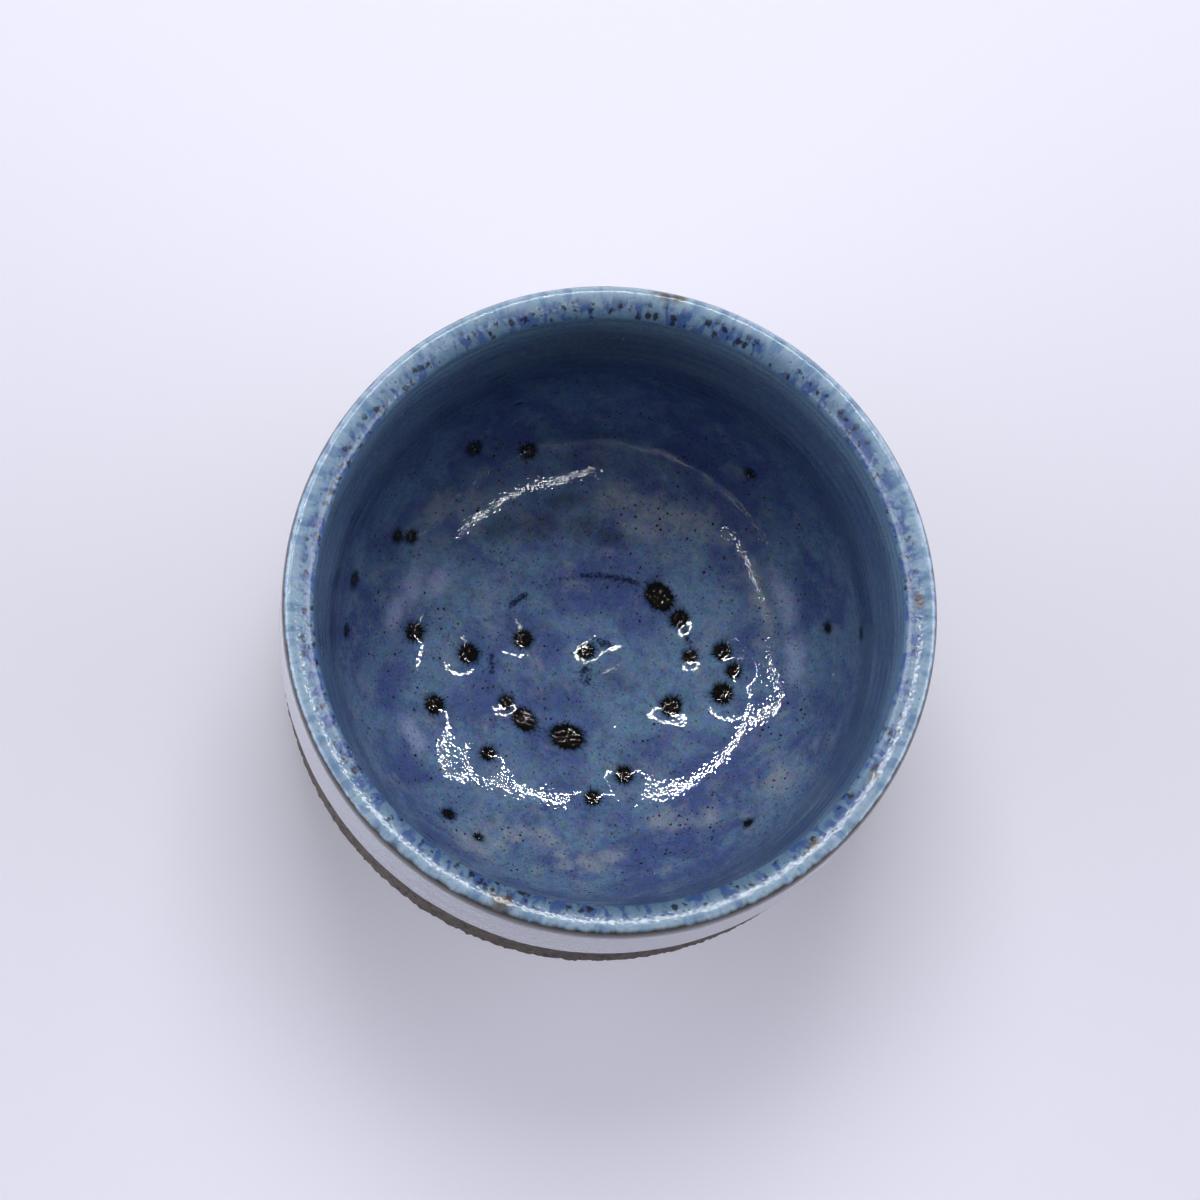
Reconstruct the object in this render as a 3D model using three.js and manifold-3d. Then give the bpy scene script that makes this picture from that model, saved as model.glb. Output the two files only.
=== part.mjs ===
// A hand-thrown stoneware cup without a handle, in millimetres, +Z up. It stands on z = 0 and the
// wheel's axis is the Z axis. The clay body carries two fired coats of glaze: a blue lining that
// fills the bowl and rolls over the lip, and a pale coat on the upper part of the outside wall.
// Grains of iron in the clay have burst through the lining, each in a crater of its own.
import * as THREE from "three";
import { mergeVertices } from "three/addons/utils/BufferGeometryUtils.js";
import Module from "manifold-3d";

const wasm = await Module();
wasm.setup();

// Thrown form
const rimDiameter = 82; // across the glazed wall just under the lip
const cupHeight = 58; // table to the top of the glazed lip
const throatHeight = 32; // table to the level where the wall turns into the bowl
const floorHeight = 9; // table to the glazed floor
const lipWall = 3; // clay wall just under the lip
const throatWall = 5; // clay wall at the throat
const bowlFlat = 26; // how far the floor runs out level before the bowl turns up
const bowlSteep = 18; // how far the wall runs down steeply before the bowl turns in
const lipRise = 1.7; // height of the rounded clay lip
const lipCrest = 0.6; // how far the top of the clay lip lies inside the outside wall
const bevelSteep = 0.75; // how far the inner side of the lip runs up steeply before it leans out
const bevelFlat = 0.5; // how far the top of the lip runs in level before it falls to that side
const wallSpread = 0.6; // how far the clay stands out at the belly beyond the lip

// Turned foot
const bellyHeight = 17.5; // table to the level where the outside wall turns in
const bellyRound = 11; // radius of that turn
const footDiameter = 54;
const footHeight = 3.2; // height of the upright side of the foot ring
const footRingWidth = 5.5;
const footRecess = 2.4; // depth of the hollow inside the foot ring
const recessSlope = 1.5; // run of the hollow's sloping side
const footEdge = 0.7; // radius worn on the edges of the foot ring

// Marks of the potter's hand
const mouthOval = 0.2; // how far the mouth stands out of round
const mouthOvalTurn = -30; // degrees from +X to the long way of the mouth
const lipWave = 0.25; // rise and fall of the lip on its way round
const lipWaves = 3;
const bowlOval = 1.2; // how far the bowl stands out of round at the ridge on its floor
const bowlOvalTurn = 24; // degrees from +X to the long way of the bowl
const ridgeRadius = 12.2; // ridge left on the floor by the fingers
const ridgeHeight = 0.3;
const ridgeWidth = 1.8; // from the crest to a third of the height
const buttonHeight = 1; // oval button that the fingers left near the middle of the floor
const buttonLong = 3.6; // from its top to a third of the height, along it
const buttonWide = 2.6; // and across it
const buttonTurn = 48; // degrees from +X to its long way
const buttonX = 2.5; // place of its top
const buttonY = 1;

// Glaze
const bondGap = 0.05; // clear gap between a coat and the clay
const liningOnFloor = 1.1;
const liningOnWall = 0.7;
const liningOnLip = 0.45;
const liningOverlap = 0.9; // how far the lining comes down outside the lip
const liningTaper = 0.6; // stretch over which the lining thins towards its edge
const coatThickness = 0.5; // pale coat on the outside
const coatLine = 34.5; // table to the lower edge of the pale coat
const coatGap = 0.3; // clear gap between the lining and the pale coat
const coatEdge = 0.2; // thickness at the free edge of either coat
const coatTaper = 1; // stretch over which the pale coat thins towards its edges

// Iron grains
const grainSeat = 0.3; // clear gap between a grain and the clay under it
const grainHeight = 0.45;
const grainClearance = 0.2; // between a grain and the foot of its crater
const craterFlare = 0.45; // how much wider a crater is at the top of the lining than at its foot
const craterTop = 1.2; // level above the clay at which the flare is measured
const craterReach = 1; // how far the cut runs past both sides of the lining

// Grains on the ridge of the floor: turn in degrees from +X, width
const ridgeGrains = [
  [-85, 4.4],
  [-115, 3.4],
  [-130, 2],
  [63, 4.2],
  [45, 2.6],
  [22, 2],
  [-10, 3],
];
// Other grains: turn in degrees from +X, reach along the clay from the middle of the floor, width
const bowlGrains = [
  [146, 0.6, 2.4],
  [-174, 8.7, 2.6],
  [-160, 15, 2.8],
  [24, 16.3, 2.5],
  [6, 17.2, 3],
  [-53, 18, 2.5],
  [16, 18, 2.1],
  [-115, 19, 2],
  [-68, 20.7, 2.2],
  [-141, 21, 2.8],
  [-166, 23, 2.6],
  [169, 30, 1.8],
  [129, 30.5, 2.5],
  [-110, 30.5, 1.9],
  [-100, 31.3, 1.2],
  [171, 32.2, 1.8],
  [-27, 33.5, 1.4],
  [27, 34, 1.4],
  [142, 34.4, 2.8],
  [70, 35, 1.6],
  [-162, 37.3, 1.6],
  [-174, 37.6, 2.2],
  [23, 44.4, 1.8],
];

// Fineness of the surfaces
const segments = 44; // round the cup
const bowlRings = 19;
const wallRings = 2;
const bevelRings = 4;
const lipRings = 2; // from the top of the lip to its outer side
const coatRings = 2;
const edgeSteps = 2; // along a coat's thin edge
const roundSteps = 3; // along each round of the foot and belly
const grainSides = 8;
const domeSteps = 2; // from the edge of a grain to its top
const craterSides = 8;

// Sizes that follow from the ones above
const clayRadius = rimDiameter / 2 - coatThickness - bondGap;
const bellyRadius = clayRadius + wallSpread;
const throatRadius = clayRadius - throatWall;
const lipSpring = cupHeight - liningOnLip - bondGap - lipRise;
const clayFloor = floorHeight - liningOnFloor - bondGap;
const footOuter = footDiameter / 2;
const footInner = footOuter - footRingWidth;

const { degToRad, lerp, radToDeg, smoothstep } = THREE.MathUtils;
const point = (r, z) => new THREE.Vector2(r, z);
const axis = point(0, 0);

// The clay's surface in profile, from the middle of the floor to the belly: a bowl that leaves the
// floor level and meets the wall upright, a wall that leans outwards, a lip with a long bevel on
// its inner side and a quarter of an ellipse on its outer side, and the outside wall
const bowlCurve = new THREE.CubicBezierCurve(
  point(0, clayFloor),
  point(bowlFlat, clayFloor),
  point(throatRadius, throatHeight - bowlSteep),
  point(throatRadius, throatHeight),
);
const wallCurve = new THREE.LineCurve(
  point(throatRadius, throatHeight),
  point(clayRadius - lipWall, lipSpring),
);
const lipInside = new THREE.CubicBezierCurve(
  point(clayRadius - lipWall, lipSpring),
  point(clayRadius - lipWall, lipSpring + bevelSteep),
  point(clayRadius - lipCrest - bevelFlat, lipSpring + lipRise),
  point(clayRadius - lipCrest, lipSpring + lipRise),
);
const lipOutside = new THREE.EllipseCurve(
  clayRadius - lipCrest, lipSpring, lipCrest, lipRise, Math.PI / 2, 0, true,
);
const outsideCurve = new THREE.LineCurve(
  point(clayRadius, lipSpring),
  point(bellyRadius, bellyHeight),
);

// The straight piece of the outside wall between two heights
function outsideStretch(top, bottom) {
  const at = (z) => outsideCurve.getPoint((lipSpring - z) / (lipSpring - bellyHeight));
  return new THREE.LineCurve(at(top), at(bottom));
}

// Stations along a stretch of the clay: the point, the direction away from the clay, and the
// thickness of glaze, which runs evenly from one end to the other
function stations(curve, count, coatStart, coatEnd) {
  return Array.from({ length: count + 1 }, (_, i) => {
    const along = i / count;
    const tangent = curve.getTangentAt(along);
    return {
      at: curve.getPointAt(along),
      out: point(-tangent.y, tangent.x),
      coat: lerp(coatStart, coatEnd, along),
    };
  });
}

// Stations of stretches that follow on from each other, each joint counted once
function joined(stretches) {
  return stretches.flatMap((stretch, i) => (i === 0 ? stretch : stretch.slice(1)));
}

// Profile of a coat that lies on the clay: along its bonded face, and back along its free face
function coatProfile(list) {
  const face = list.map(({ at, out, coat }) => at.clone().addScaledVector(out, bondGap + coat));
  const back = list.map(({ at, out }) => at.clone().addScaledVector(out, bondGap));
  return [...back, ...face.reverse()];
}

// Bell of height 1 that falls to a third of it at the given width
function bell(distance, width) {
  return Math.exp(-((distance / width) ** 2));
}

// How far a true turned form stands out of round at a turn in radians
function outOfRound(amount, turn, longWay) {
  return amount * Math.cos(2 * (turn - degToRad(longWay)));
}

// Moves a point of the true turned form to where the potter's hand left it. The bowl is oval at
// the floor and round at the throat, and the mouth is a little oval again. What marks the floor
// fades out below it, so the underside stays true.
function shapeByHand(p) {
  const radius = Math.hypot(p.x, p.y);
  const turn = Math.atan2(p.y, p.x);
  const inside = smoothstep(p.z, footRecess, clayFloor);
  const ridge = ridgeHeight * bell(radius - ridgeRadius, ridgeWidth);
  const fromButton = point(p.x - buttonX, p.y - buttonY).rotateAround(axis, -degToRad(buttonTurn));
  const button = buttonHeight * bell(fromButton.x, buttonLong) * bell(fromButton.y, buttonWide);
  const wave = lipWave * Math.sin(lipWaves * turn) * smoothstep(p.z, throatHeight, cupHeight);
  const nearFloor = inside * (1 - smoothstep(radius, ridgeRadius, throatRadius));
  const bowl = (outOfRound(bowlOval, turn, bowlOvalTurn) / ridgeRadius) * nearFloor;
  const mouth = (outOfRound(mouthOval, turn, mouthOvalTurn) / throatRadius) * (p.z / cupHeight);
  const spread = 1 + bowl + mouth;
  return p.set(p.x * spread, p.y * spread, p.z + wave + (ridge + button) * inside);
}

// Turns a profile about the Z axis and shapes it by hand
function thrown(profile) {
  const geometry = new THREE.LatheGeometry(profile, segments).rotateX(Math.PI / 2);
  const places = geometry.getAttribute("position");
  const place = new THREE.Vector3();
  for (let i = 0; i < places.count; i += 1) {
    shapeByHand(place.fromBufferAttribute(places, i));
    places.setXYZ(i, place.x, place.y, place.z);
  }
  return geometry;
}

// A closed geometry as a solid that can be cut
function solid(geometry) {
  const bare = new THREE.BufferGeometry();
  bare.setAttribute("position", geometry.getAttribute("position"));
  bare.setIndex(geometry.index);
  const merged = mergeVertices(bare);
  return new wasm.Manifold(new wasm.Mesh({
    numProp: 3,
    vertProperties: merged.getAttribute("position").array,
    triVerts: new Uint32Array(merged.index.array),
  }));
}

// A solid back as a geometry
function geometryOf(cut) {
  const mesh = cut.getMesh();
  const geometry = new THREE.BufferGeometry();
  geometry.setAttribute("position", new THREE.BufferAttribute(mesh.vertProperties, 3));
  geometry.setIndex(new THREE.BufferAttribute(mesh.triVerts, 1));
  return geometry;
}

// Stations of the inside, from the middle of the floor to the outer side of the lip: the lining is
// thick on the floor, and thinner up the wall and over the lip
function insideStations() {
  return joined([
    stations(bowlCurve, bowlRings, liningOnFloor, liningOnWall),
    stations(wallCurve, wallRings, liningOnWall, liningOnLip),
    stations(lipInside, bevelRings, liningOnLip, liningOnLip),
    stations(lipOutside, lipRings, liningOnLip, liningOnLip),
  ]);
}

// Clay: the hollow under the foot, the foot ring, a slope that meets the belly's round, the
// outside wall, and then the inside from the lip down to the middle of the floor
function clayGeometry() {
  const round = point(bellyRadius - bellyRound, bellyHeight);
  const toFoot = point(footOuter, footHeight).sub(round);
  const touch = toFoot.angle() + Math.acos(bellyRound / toFoot.length());
  const outline = new THREE.Path();
  outline.moveTo(0, footRecess);
  outline.lineTo(footInner - recessSlope, footRecess);
  outline.lineTo(footInner, footEdge);
  outline.absarc(footInner + footEdge, footEdge, footEdge, Math.PI, 1.5 * Math.PI);
  outline.absarc(footOuter - footEdge, footEdge, footEdge, 1.5 * Math.PI, 2 * Math.PI);
  outline.lineTo(footOuter, footHeight);
  outline.absarc(round.x, round.y, bellyRound, touch, 2 * Math.PI);
  const inside = insideStations().map(({ at }) => at);
  return thrown([...outline.getPoints(roundSteps), ...inside.reverse()]);
}

// Blue lining: the inside and the lip, and a thin free edge a little way down the outside
function liningGeometry() {
  const edge = lipSpring - liningOverlap;
  const full = edge + liningTaper;
  return thrown(coatProfile(joined([
    insideStations(),
    stations(outsideStretch(lipSpring, full), 1, liningOnLip, liningOnLip),
    stations(outsideStretch(full, edge), edgeSteps, liningOnLip, coatEdge),
  ])));
}

// Pale coat: from under the lining's edge down to the coat line, thin at both edges
function paleCoatGeometry() {
  const top = lipSpring - liningOverlap - coatGap;
  const fullTop = top - coatTaper;
  const fullBottom = coatLine + coatTaper;
  const profile = coatProfile(joined([
    stations(outsideStretch(top, fullTop), edgeSteps, coatEdge, coatThickness),
    stations(outsideStretch(fullTop, fullBottom), coatRings, coatThickness, coatThickness),
    stations(outsideStretch(fullBottom, coatLine), edgeSteps, coatThickness, coatEdge),
  ]));
  return thrown([...profile, profile[0].clone()]);
}

// Place on the clay inside the cup, at a turn in degrees and a reach from the middle of the floor
const insideCurve = new THREE.CurvePath();
insideCurve.add(bowlCurve);
insideCurve.add(wallCurve);
function insidePlace(turn, reach) {
  const { x: radius, y: height } = insideCurve.getPointAt(reach / insideCurve.getLength());
  const angle = degToRad(turn);
  return shapeByHand(new THREE.Vector3(radius * Math.cos(angle), radius * Math.sin(angle), height));
}

// Stands a geometry made along +Z on the clay, square to the surface under it
function standOnClay(geometry, { turn, reach, width }) {
  const step = width / 2;
  const sideways = radToDeg(step / Math.max(reach, step));
  const uphill = insidePlace(turn, reach + step).sub(insidePlace(turn, Math.max(reach - step, 0)));
  const across = insidePlace(turn + sideways, reach).sub(insidePlace(turn - sideways, reach));
  const out = uphill.cross(across).normalize();
  const lean = new THREE.Quaternion().setFromUnitVectors(new THREE.Vector3(0, 0, 1), out);
  return geometry.applyQuaternion(lean).translate(...insidePlace(turn, reach).toArray());
}

// Iron grain: a low dome with a flat seat
function grainGeometry(grain) {
  const radius = grain.width / 2;
  const dome = new THREE.EllipseCurve(0, grainSeat, radius, grainHeight, 0, Math.PI / 2);
  const profile = [point(0, grainSeat), ...dome.getPoints(domeSteps)];
  const geometry = new THREE.LatheGeometry(profile, grainSides).rotateX(Math.PI / 2);
  return standOnClay(geometry, grain);
}

// Crater: a cone that is cut through the lining round a grain
function craterSolid(grain) {
  const foot = grain.width / 2 + grainClearance;
  const slope = craterFlare / craterTop;
  const bottom = -craterReach;
  const top = craterTop + craterReach;
  const cone = new THREE.CylinderGeometry(
    foot + slope * top, foot + slope * bottom, top - bottom, craterSides,
  ).rotateX(Math.PI / 2).translate(0, 0, (top + bottom) / 2);
  return solid(standOnClay(cone, grain));
}

const grains = [
  ...ridgeGrains.map(([turn, width]) => ({ turn, reach: ridgeRadius, width })),
  ...bowlGrains.map(([turn, reach, width]) => ({ turn, reach, width })),
];

const clay = new THREE.MeshStandardMaterial({ color: 0x9a8c80, roughness: 0.9, metalness: 0 });
const blueGlaze = new THREE.MeshStandardMaterial({ color: 0x6f86b4, roughness: 0.12, metalness: 0 });
const paleGlaze = new THREE.MeshStandardMaterial({ color: 0xc6c9d6, roughness: 0.2, metalness: 0 });
const iron = new THREE.MeshStandardMaterial({ color: 0x241c1c, roughness: 0.25, metalness: 0 });

const cup = new THREE.Group();
function place(name, geometry, material) {
  const mesh = new THREE.Mesh(geometry, material);
  mesh.name = name;
  cup.add(mesh);
}

const lining = grains.reduce(
  (coat, grain) => coat.subtract(craterSolid(grain)),
  solid(liningGeometry()),
);
place("clay_body", clayGeometry(), clay);
place("blue_lining", geometryOf(lining), blueGlaze);
place("pale_coat", paleCoatGeometry(), paleGlaze);
grains.forEach((grain, i) => {
  const number = String(i + 1).padStart(2, "0");
  place(`iron_grain_${number}`, grainGeometry(grain), iron);
});

export default cup;
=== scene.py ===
import math

import bpy
import numpy as np
from mathutils import Matrix, Vector


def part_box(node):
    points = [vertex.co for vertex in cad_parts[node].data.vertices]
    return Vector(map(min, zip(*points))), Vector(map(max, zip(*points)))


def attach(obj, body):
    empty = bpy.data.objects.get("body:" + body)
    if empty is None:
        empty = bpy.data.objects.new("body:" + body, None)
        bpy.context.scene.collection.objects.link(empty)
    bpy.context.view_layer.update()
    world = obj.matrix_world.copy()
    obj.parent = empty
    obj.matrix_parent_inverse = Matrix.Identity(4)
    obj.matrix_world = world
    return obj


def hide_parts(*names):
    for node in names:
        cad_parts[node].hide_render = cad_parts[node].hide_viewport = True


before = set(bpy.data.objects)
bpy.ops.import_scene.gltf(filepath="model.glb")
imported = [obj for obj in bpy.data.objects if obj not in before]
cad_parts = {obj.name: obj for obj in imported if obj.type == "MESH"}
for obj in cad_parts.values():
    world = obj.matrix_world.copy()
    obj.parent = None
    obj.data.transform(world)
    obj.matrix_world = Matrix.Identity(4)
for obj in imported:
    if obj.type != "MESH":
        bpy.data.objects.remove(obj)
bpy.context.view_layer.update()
mm = 0.001  # shapes are worked out in millimetres and put into their meshes in metres
print("frame loaded")

# Sizes of the thrown form, in millimetres, as the solids have them
cupForm = {
    "rimDiameter": 82.0,
    "throatHeight": 32.0,
    "lipWall": 3.0,
    "throatWall": 5.0,
    "bowlFlat": 26.0,
    "bowlSteep": 18.0,
    "lipRise": 1.7,
    "lipCrest": 0.6,
    "bevelSteep": 0.75,
    "bevelFlat": 0.5,
    "wallSpread": 0.6,
    "bondGap": 0.05,
    "liningOnFloor": 1.1,
    "liningOnWall": 0.7,
    "liningOnLip": 0.45,
    "coatThickness": 0.5,
    "footRecess": 2.4,
}

# Marks that the potter's hand left, in millimetres and degrees
handMarks = {
    "mouthOval": 0.2,
    "mouthOvalTurn": -30.0,
    "lipWave": 0.25,
    "lipWaves": 3,
    "bowlOval": 1.2,
    "bowlOvalTurn": 24.0,
    "ridgeRadius": 12.2,
    "ridgeHeight": 0.3,
    "ridgeWidth": 1.8,
    "buttonHeight": 1.6,
    "buttonLong": 5.0,
    "buttonWide": 3.2,
    "buttonTurn": 48.0,  # of its long side
    "buttonPlace": (1.9, 0.2),  # x and y
}

liningLow, liningHigh = (np.array(corner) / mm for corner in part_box("blue_lining"))
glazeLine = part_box("pale_coat")[0][2] / mm
cupHeight = liningHigh[2] - handMarks["lipWave"]
clayFloor = liningLow[2] - cupForm["bondGap"]
clayRadius = cupForm["rimDiameter"] / 2 - cupForm["coatThickness"] - cupForm["bondGap"]
bellyRadius = clayRadius + cupForm["wallSpread"]
throatRadius = clayRadius - cupForm["throatWall"]
lipInner = clayRadius - cupForm["lipWall"]
lipTop = cupHeight - cupForm["liningOnLip"] - cupForm["bondGap"]
lipSpring = lipTop - cupForm["lipRise"]
crestRadius = clayRadius - cupForm["lipCrest"]


# Shares from 0 to 1 that ease in and out between two limits: 3t^2 - 2t^3
def smoothStep(value, low, high):
    share = np.clip((value - low) / (high - low), 0, 1)
    return share * share * (3 - 2 * share)


# Bell of height 1 that falls to a third of it at the given width: exp(-(distance / width)^2)
def bell(distance, width):
    return np.exp(-((distance / width) ** 2))


# Cubic curve through its end points: the four points weigh (1-t)^3, 3t(1-t)^2, 3t^2(1-t) and t^3
def bezierLine(first, firstPull, lastPull, last, count):
    t = np.linspace(0, 1, count)[:, None]
    weights = [(1 - t) ** 3, 3 * t * (1 - t) ** 2, 3 * t * t * (1 - t), t**3]
    return sum(weight * np.array(point) for weight, point in zip(weights, [first, firstPull, lastPull, last]))


# Stretch of an ellipse: centre + (across * cos, rise * sin) of the angles between two limits in degrees
def ellipseLine(centre, across, rise, fromAngle, toAngle, count):
    angle = np.radians(np.linspace(fromAngle, toAngle, count))
    return np.column_stack([centre[0] + across * np.cos(angle), centre[1] + rise * np.sin(angle)])


# Straight line between two points
def straightLine(first, last, count):
    return np.linspace(first, last, count)


# The same line with its points spread evenly along its length
def spreadEvenly(line, count):
    reach = np.concatenate([[0], np.cumsum(np.hypot(*np.diff(line, axis=0).T))])
    wanted = np.linspace(0, reach[-1], count)
    return np.column_stack([np.interp(wanted, reach, line[:, k]) for k in range(2)])


# Stations along a profile: points, the direction away from the clay (the tangent turned left) and reach
def stationsOf(stretches):
    line = np.concatenate([stretches[0]] + [stretch[1:] for stretch in stretches[1:]])
    reach = np.concatenate([[0], np.cumsum(np.hypot(*np.diff(line, axis=0).T))])
    slope = np.gradient(line, reach, axis=0)
    slope /= np.linalg.norm(slope, axis=1)[:, None]
    return {"reach": reach, "point": line, "away": np.column_stack([-slope[:, 1], slope[:, 0]])}


# A turned form is moved to where the hand left it: x and y grow by a cosine of twice the turn, which
# fades from the bowl's floor to its throat and grows again to the mouth, and z rises over the ridge and
# the button of the floor and with a sine of the turn along the lip
def shapeByHand(radius, turn, height):
    inside = smoothStep(height, cupForm["footRecess"], clayFloor)
    ridge = handMarks["ridgeHeight"] * bell(radius - handMarks["ridgeRadius"], handMarks["ridgeWidth"])
    along = math.radians(handMarks["buttonTurn"])
    x = radius * np.cos(turn) - handMarks["buttonPlace"][0]
    y = radius * np.sin(turn) - handMarks["buttonPlace"][1]
    lengthwise = bell(x * math.cos(along) + y * math.sin(along), handMarks["buttonLong"])
    crosswise = bell(y * math.cos(along) - x * math.sin(along), handMarks["buttonWide"])
    button = handMarks["buttonHeight"] * lengthwise * crosswise
    lipFade = smoothStep(height, cupForm["throatHeight"], cupHeight)
    wave = handMarks["lipWave"] * np.sin(handMarks["lipWaves"] * turn) * lipFade
    nearFloor = inside * (1 - smoothStep(radius, handMarks["ridgeRadius"], throatRadius))
    bowlTurn = np.cos(2 * (turn - math.radians(handMarks["bowlOvalTurn"])))
    mouthTurn = np.cos(2 * (turn - math.radians(handMarks["mouthOvalTurn"])))
    bowl = handMarks["bowlOval"] / handMarks["ridgeRadius"] * bowlTurn * nearFloor
    mouth = handMarks["mouthOval"] / throatRadius * mouthTurn * height / cupHeight
    out = radius * (1 + bowl + mouth)
    rise = height + wave + (ridge + button) * inside
    return np.stack([out * np.cos(turn), out * np.sin(turn), rise], axis=-1)


# Faces of a skin of rings: quads between neighbour rings, and a fan of triangles at each pole, or else the
# last ring joins the first
def skinFaces(ringCount, roundCount, hasPoles):
    corner = np.arange(ringCount * roundCount).reshape(ringCount, roundCount)
    if not hasPoles:
        corner = np.concatenate([corner, corner[:1]])
    beside = np.roll(corner, -1, axis=1)
    quads = np.stack([corner[:-1], corner[1:], beside[1:], beside[:-1]], axis=-1).reshape(-1, 4)
    if not hasPoles:
        return quads, np.zeros((0, 3), int)
    startPole = np.full(roundCount, ringCount * roundCount)
    startFan = np.stack([startPole, corner[0], beside[0]], axis=-1)
    endFan = np.stack([corner[-1], startPole + 1, beside[-1]], axis=-1)
    return quads, np.concatenate([startFan, endFan])


# Values on rings as one list, with the mean of the first and last ring for the poles
def ringValues(rings, hasPoles):
    flat = rings.reshape(-1, 3)
    if not hasPoles:
        return flat
    return np.concatenate([flat, rings[0].mean(axis=0)[None], rings[-1].mean(axis=0)[None]])


# Smooth mesh object at the origin from points in millimetres, with vector attributes on its points
def makePiece(name, points, quads, fans, attributes):
    mesh = bpy.data.meshes.new(name)
    mesh.from_pydata((points * mm).tolist(), [], quads.tolist() + fans.tolist())
    for label, values in attributes.items():
        layer = mesh.attributes.new(label, "FLOAT_VECTOR", "POINT")
        layer.data.foreach_set("vector", np.ascontiguousarray(values, dtype=np.float32).ravel())
    mesh.shade_smooth()
    piece = bpy.data.objects.new(name, mesh)
    bpy.context.scene.collection.objects.link(piece)
    return piece


# A piece stands for its nodes, moves with the cup and takes the finish it is given
def fitPiece(piece, material, nodes):
    piece.data.materials.append(material)
    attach(piece, "root")
    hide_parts(*nodes)
    print(piece.name, "made,", len(piece.data.polygons), "faces")


# Blue lining
lining = {
    "roundCount": 384,
    "bowlRings": 132,
    "wallRings": 52,
    "bevelRings": 22,
    "lipRings": 12,
    "outsideRings": 6,
    "backRings": 18,
    "overlap": 0.9,  # how far it comes down outside the lip
    "edgeStretch": 0.6,  # over which it thins to its edge
    "edgeThickness": 0.06,
    "middleReach": 0.12,  # of the first ring round the middle of the floor
    "backDepth": 0.25,  # of its hidden side below the clay's line, clear of the dimples
    "swell": 0.035,  # slow rise and fall of the fired surface
    "swellLength": 11.0,
    "swellCount": 7,
    "swellClimb": 0.6,  # share of the height in the way of a swell
    "swellFade": 4.0,  # below the lip, over which the swell dies away
    "throwDepth": 0.02,  # rings that the fingers left in the wall
    "throwSpacing": 2.6,
    "throwFade": 3.0,  # below the lip, over which those rings die away
    "wallStart": 0.72,  # of the reach to the throat, where the bowl turns to wall
    "dimpleDepth": 0.8,  # round a grain of the usual width
    "dimpleWidth": 2.1,  # over which the dimple falls to a third
    "middleDimple": 0.25,  # how much of the dimple is left in the middle of the floor
    "usualGrain": 2.5,
    "wallDimple": 0.3,  # how much of the dimple is left up on the wall, where the glaze is thin
    "hollows": [(-118, 28, 0.75, 4.6), (7, 28.5, 0.6, 4.6)],  # wide dents: turn, reach, depth, width
}

bowlSteps = 2000  # points at which a curve is worked out before it is spread evenly
curveSteps = 800
throatHeight = cupForm["throatHeight"]
middleHeight = (throatHeight + lipSpring) / 2
bowlLine = bezierLine(
    (0, clayFloor), (cupForm["bowlFlat"], clayFloor),
    (throatRadius, throatHeight - cupForm["bowlSteep"]), (throatRadius, throatHeight), bowlSteps,
)
wallLine = bezierLine(
    (throatRadius, throatHeight), (throatRadius, middleHeight),
    (lipInner, middleHeight), (lipInner, lipSpring), curveSteps,
)
bevelLine = bezierLine(
    (lipInner, lipSpring), (lipInner, lipSpring + cupForm["bevelSteep"]),
    (crestRadius - cupForm["bevelFlat"], lipTop), (crestRadius, lipTop), curveSteps,
)
lipLine = ellipseLine((crestRadius, lipSpring), cupForm["lipCrest"], cupForm["lipRise"], 90, 0, curveSteps)
liningEnd = (clayRadius, lipSpring - lining["overlap"])
liningSide = stationsOf([
    spreadEvenly(bowlLine, lining["bowlRings"]),
    spreadEvenly(wallLine, lining["wallRings"]),
    spreadEvenly(bevelLine, lining["bevelRings"]),
    spreadEvenly(lipLine, lining["lipRings"]),
    straightLine((clayRadius, lipSpring), liningEnd, lining["outsideRings"]),
])
throatReach = liningSide["reach"][lining["bowlRings"] - 1]
lipReach = liningSide["reach"][lining["bowlRings"] + lining["wallRings"] - 2]
crestReach = liningSide["reach"][lining["bowlRings"] + lining["wallRings"] + lining["bevelRings"] - 3]
springReach = liningSide["reach"][-lining["outsideRings"]]
endReach = liningSide["reach"][-1]
waveDraw = np.random.default_rng(11)
swellTurn = waveDraw.uniform(0, 2 * math.pi, lining["swellCount"])
swellPhase = waveDraw.uniform(0, 2 * math.pi, lining["swellCount"])


# Thickness of the lining: even steps from the floor to the throat, the lip and then the thin edge
def liningCoat(reach):
    onLip = cupForm["liningOnLip"]
    thickness = [cupForm["liningOnFloor"], cupForm["liningOnWall"], onLip, onLip]
    coat = np.interp(reach, [0, throatReach, lipReach, endReach], thickness)
    edge = np.clip((endReach - reach) / lining["edgeStretch"], 0, 1)
    return lining["edgeThickness"] + (coat - lining["edgeThickness"]) * np.sqrt(edge * (2 - edge))


# Points at a lift above the clay's inner side: profile point + lift * direction away, turned and hand shaped
def onInnerSide(reach, turn, lift):
    def along(values):
        return np.interp(reach, liningSide["reach"], values)
    radius = along(liningSide["point"][:, 0]) + lift * along(liningSide["away"][:, 0])
    height = along(liningSide["point"][:, 1]) + lift * along(liningSide["away"][:, 1])
    return shapeByHand(radius, turn, height)


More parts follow.
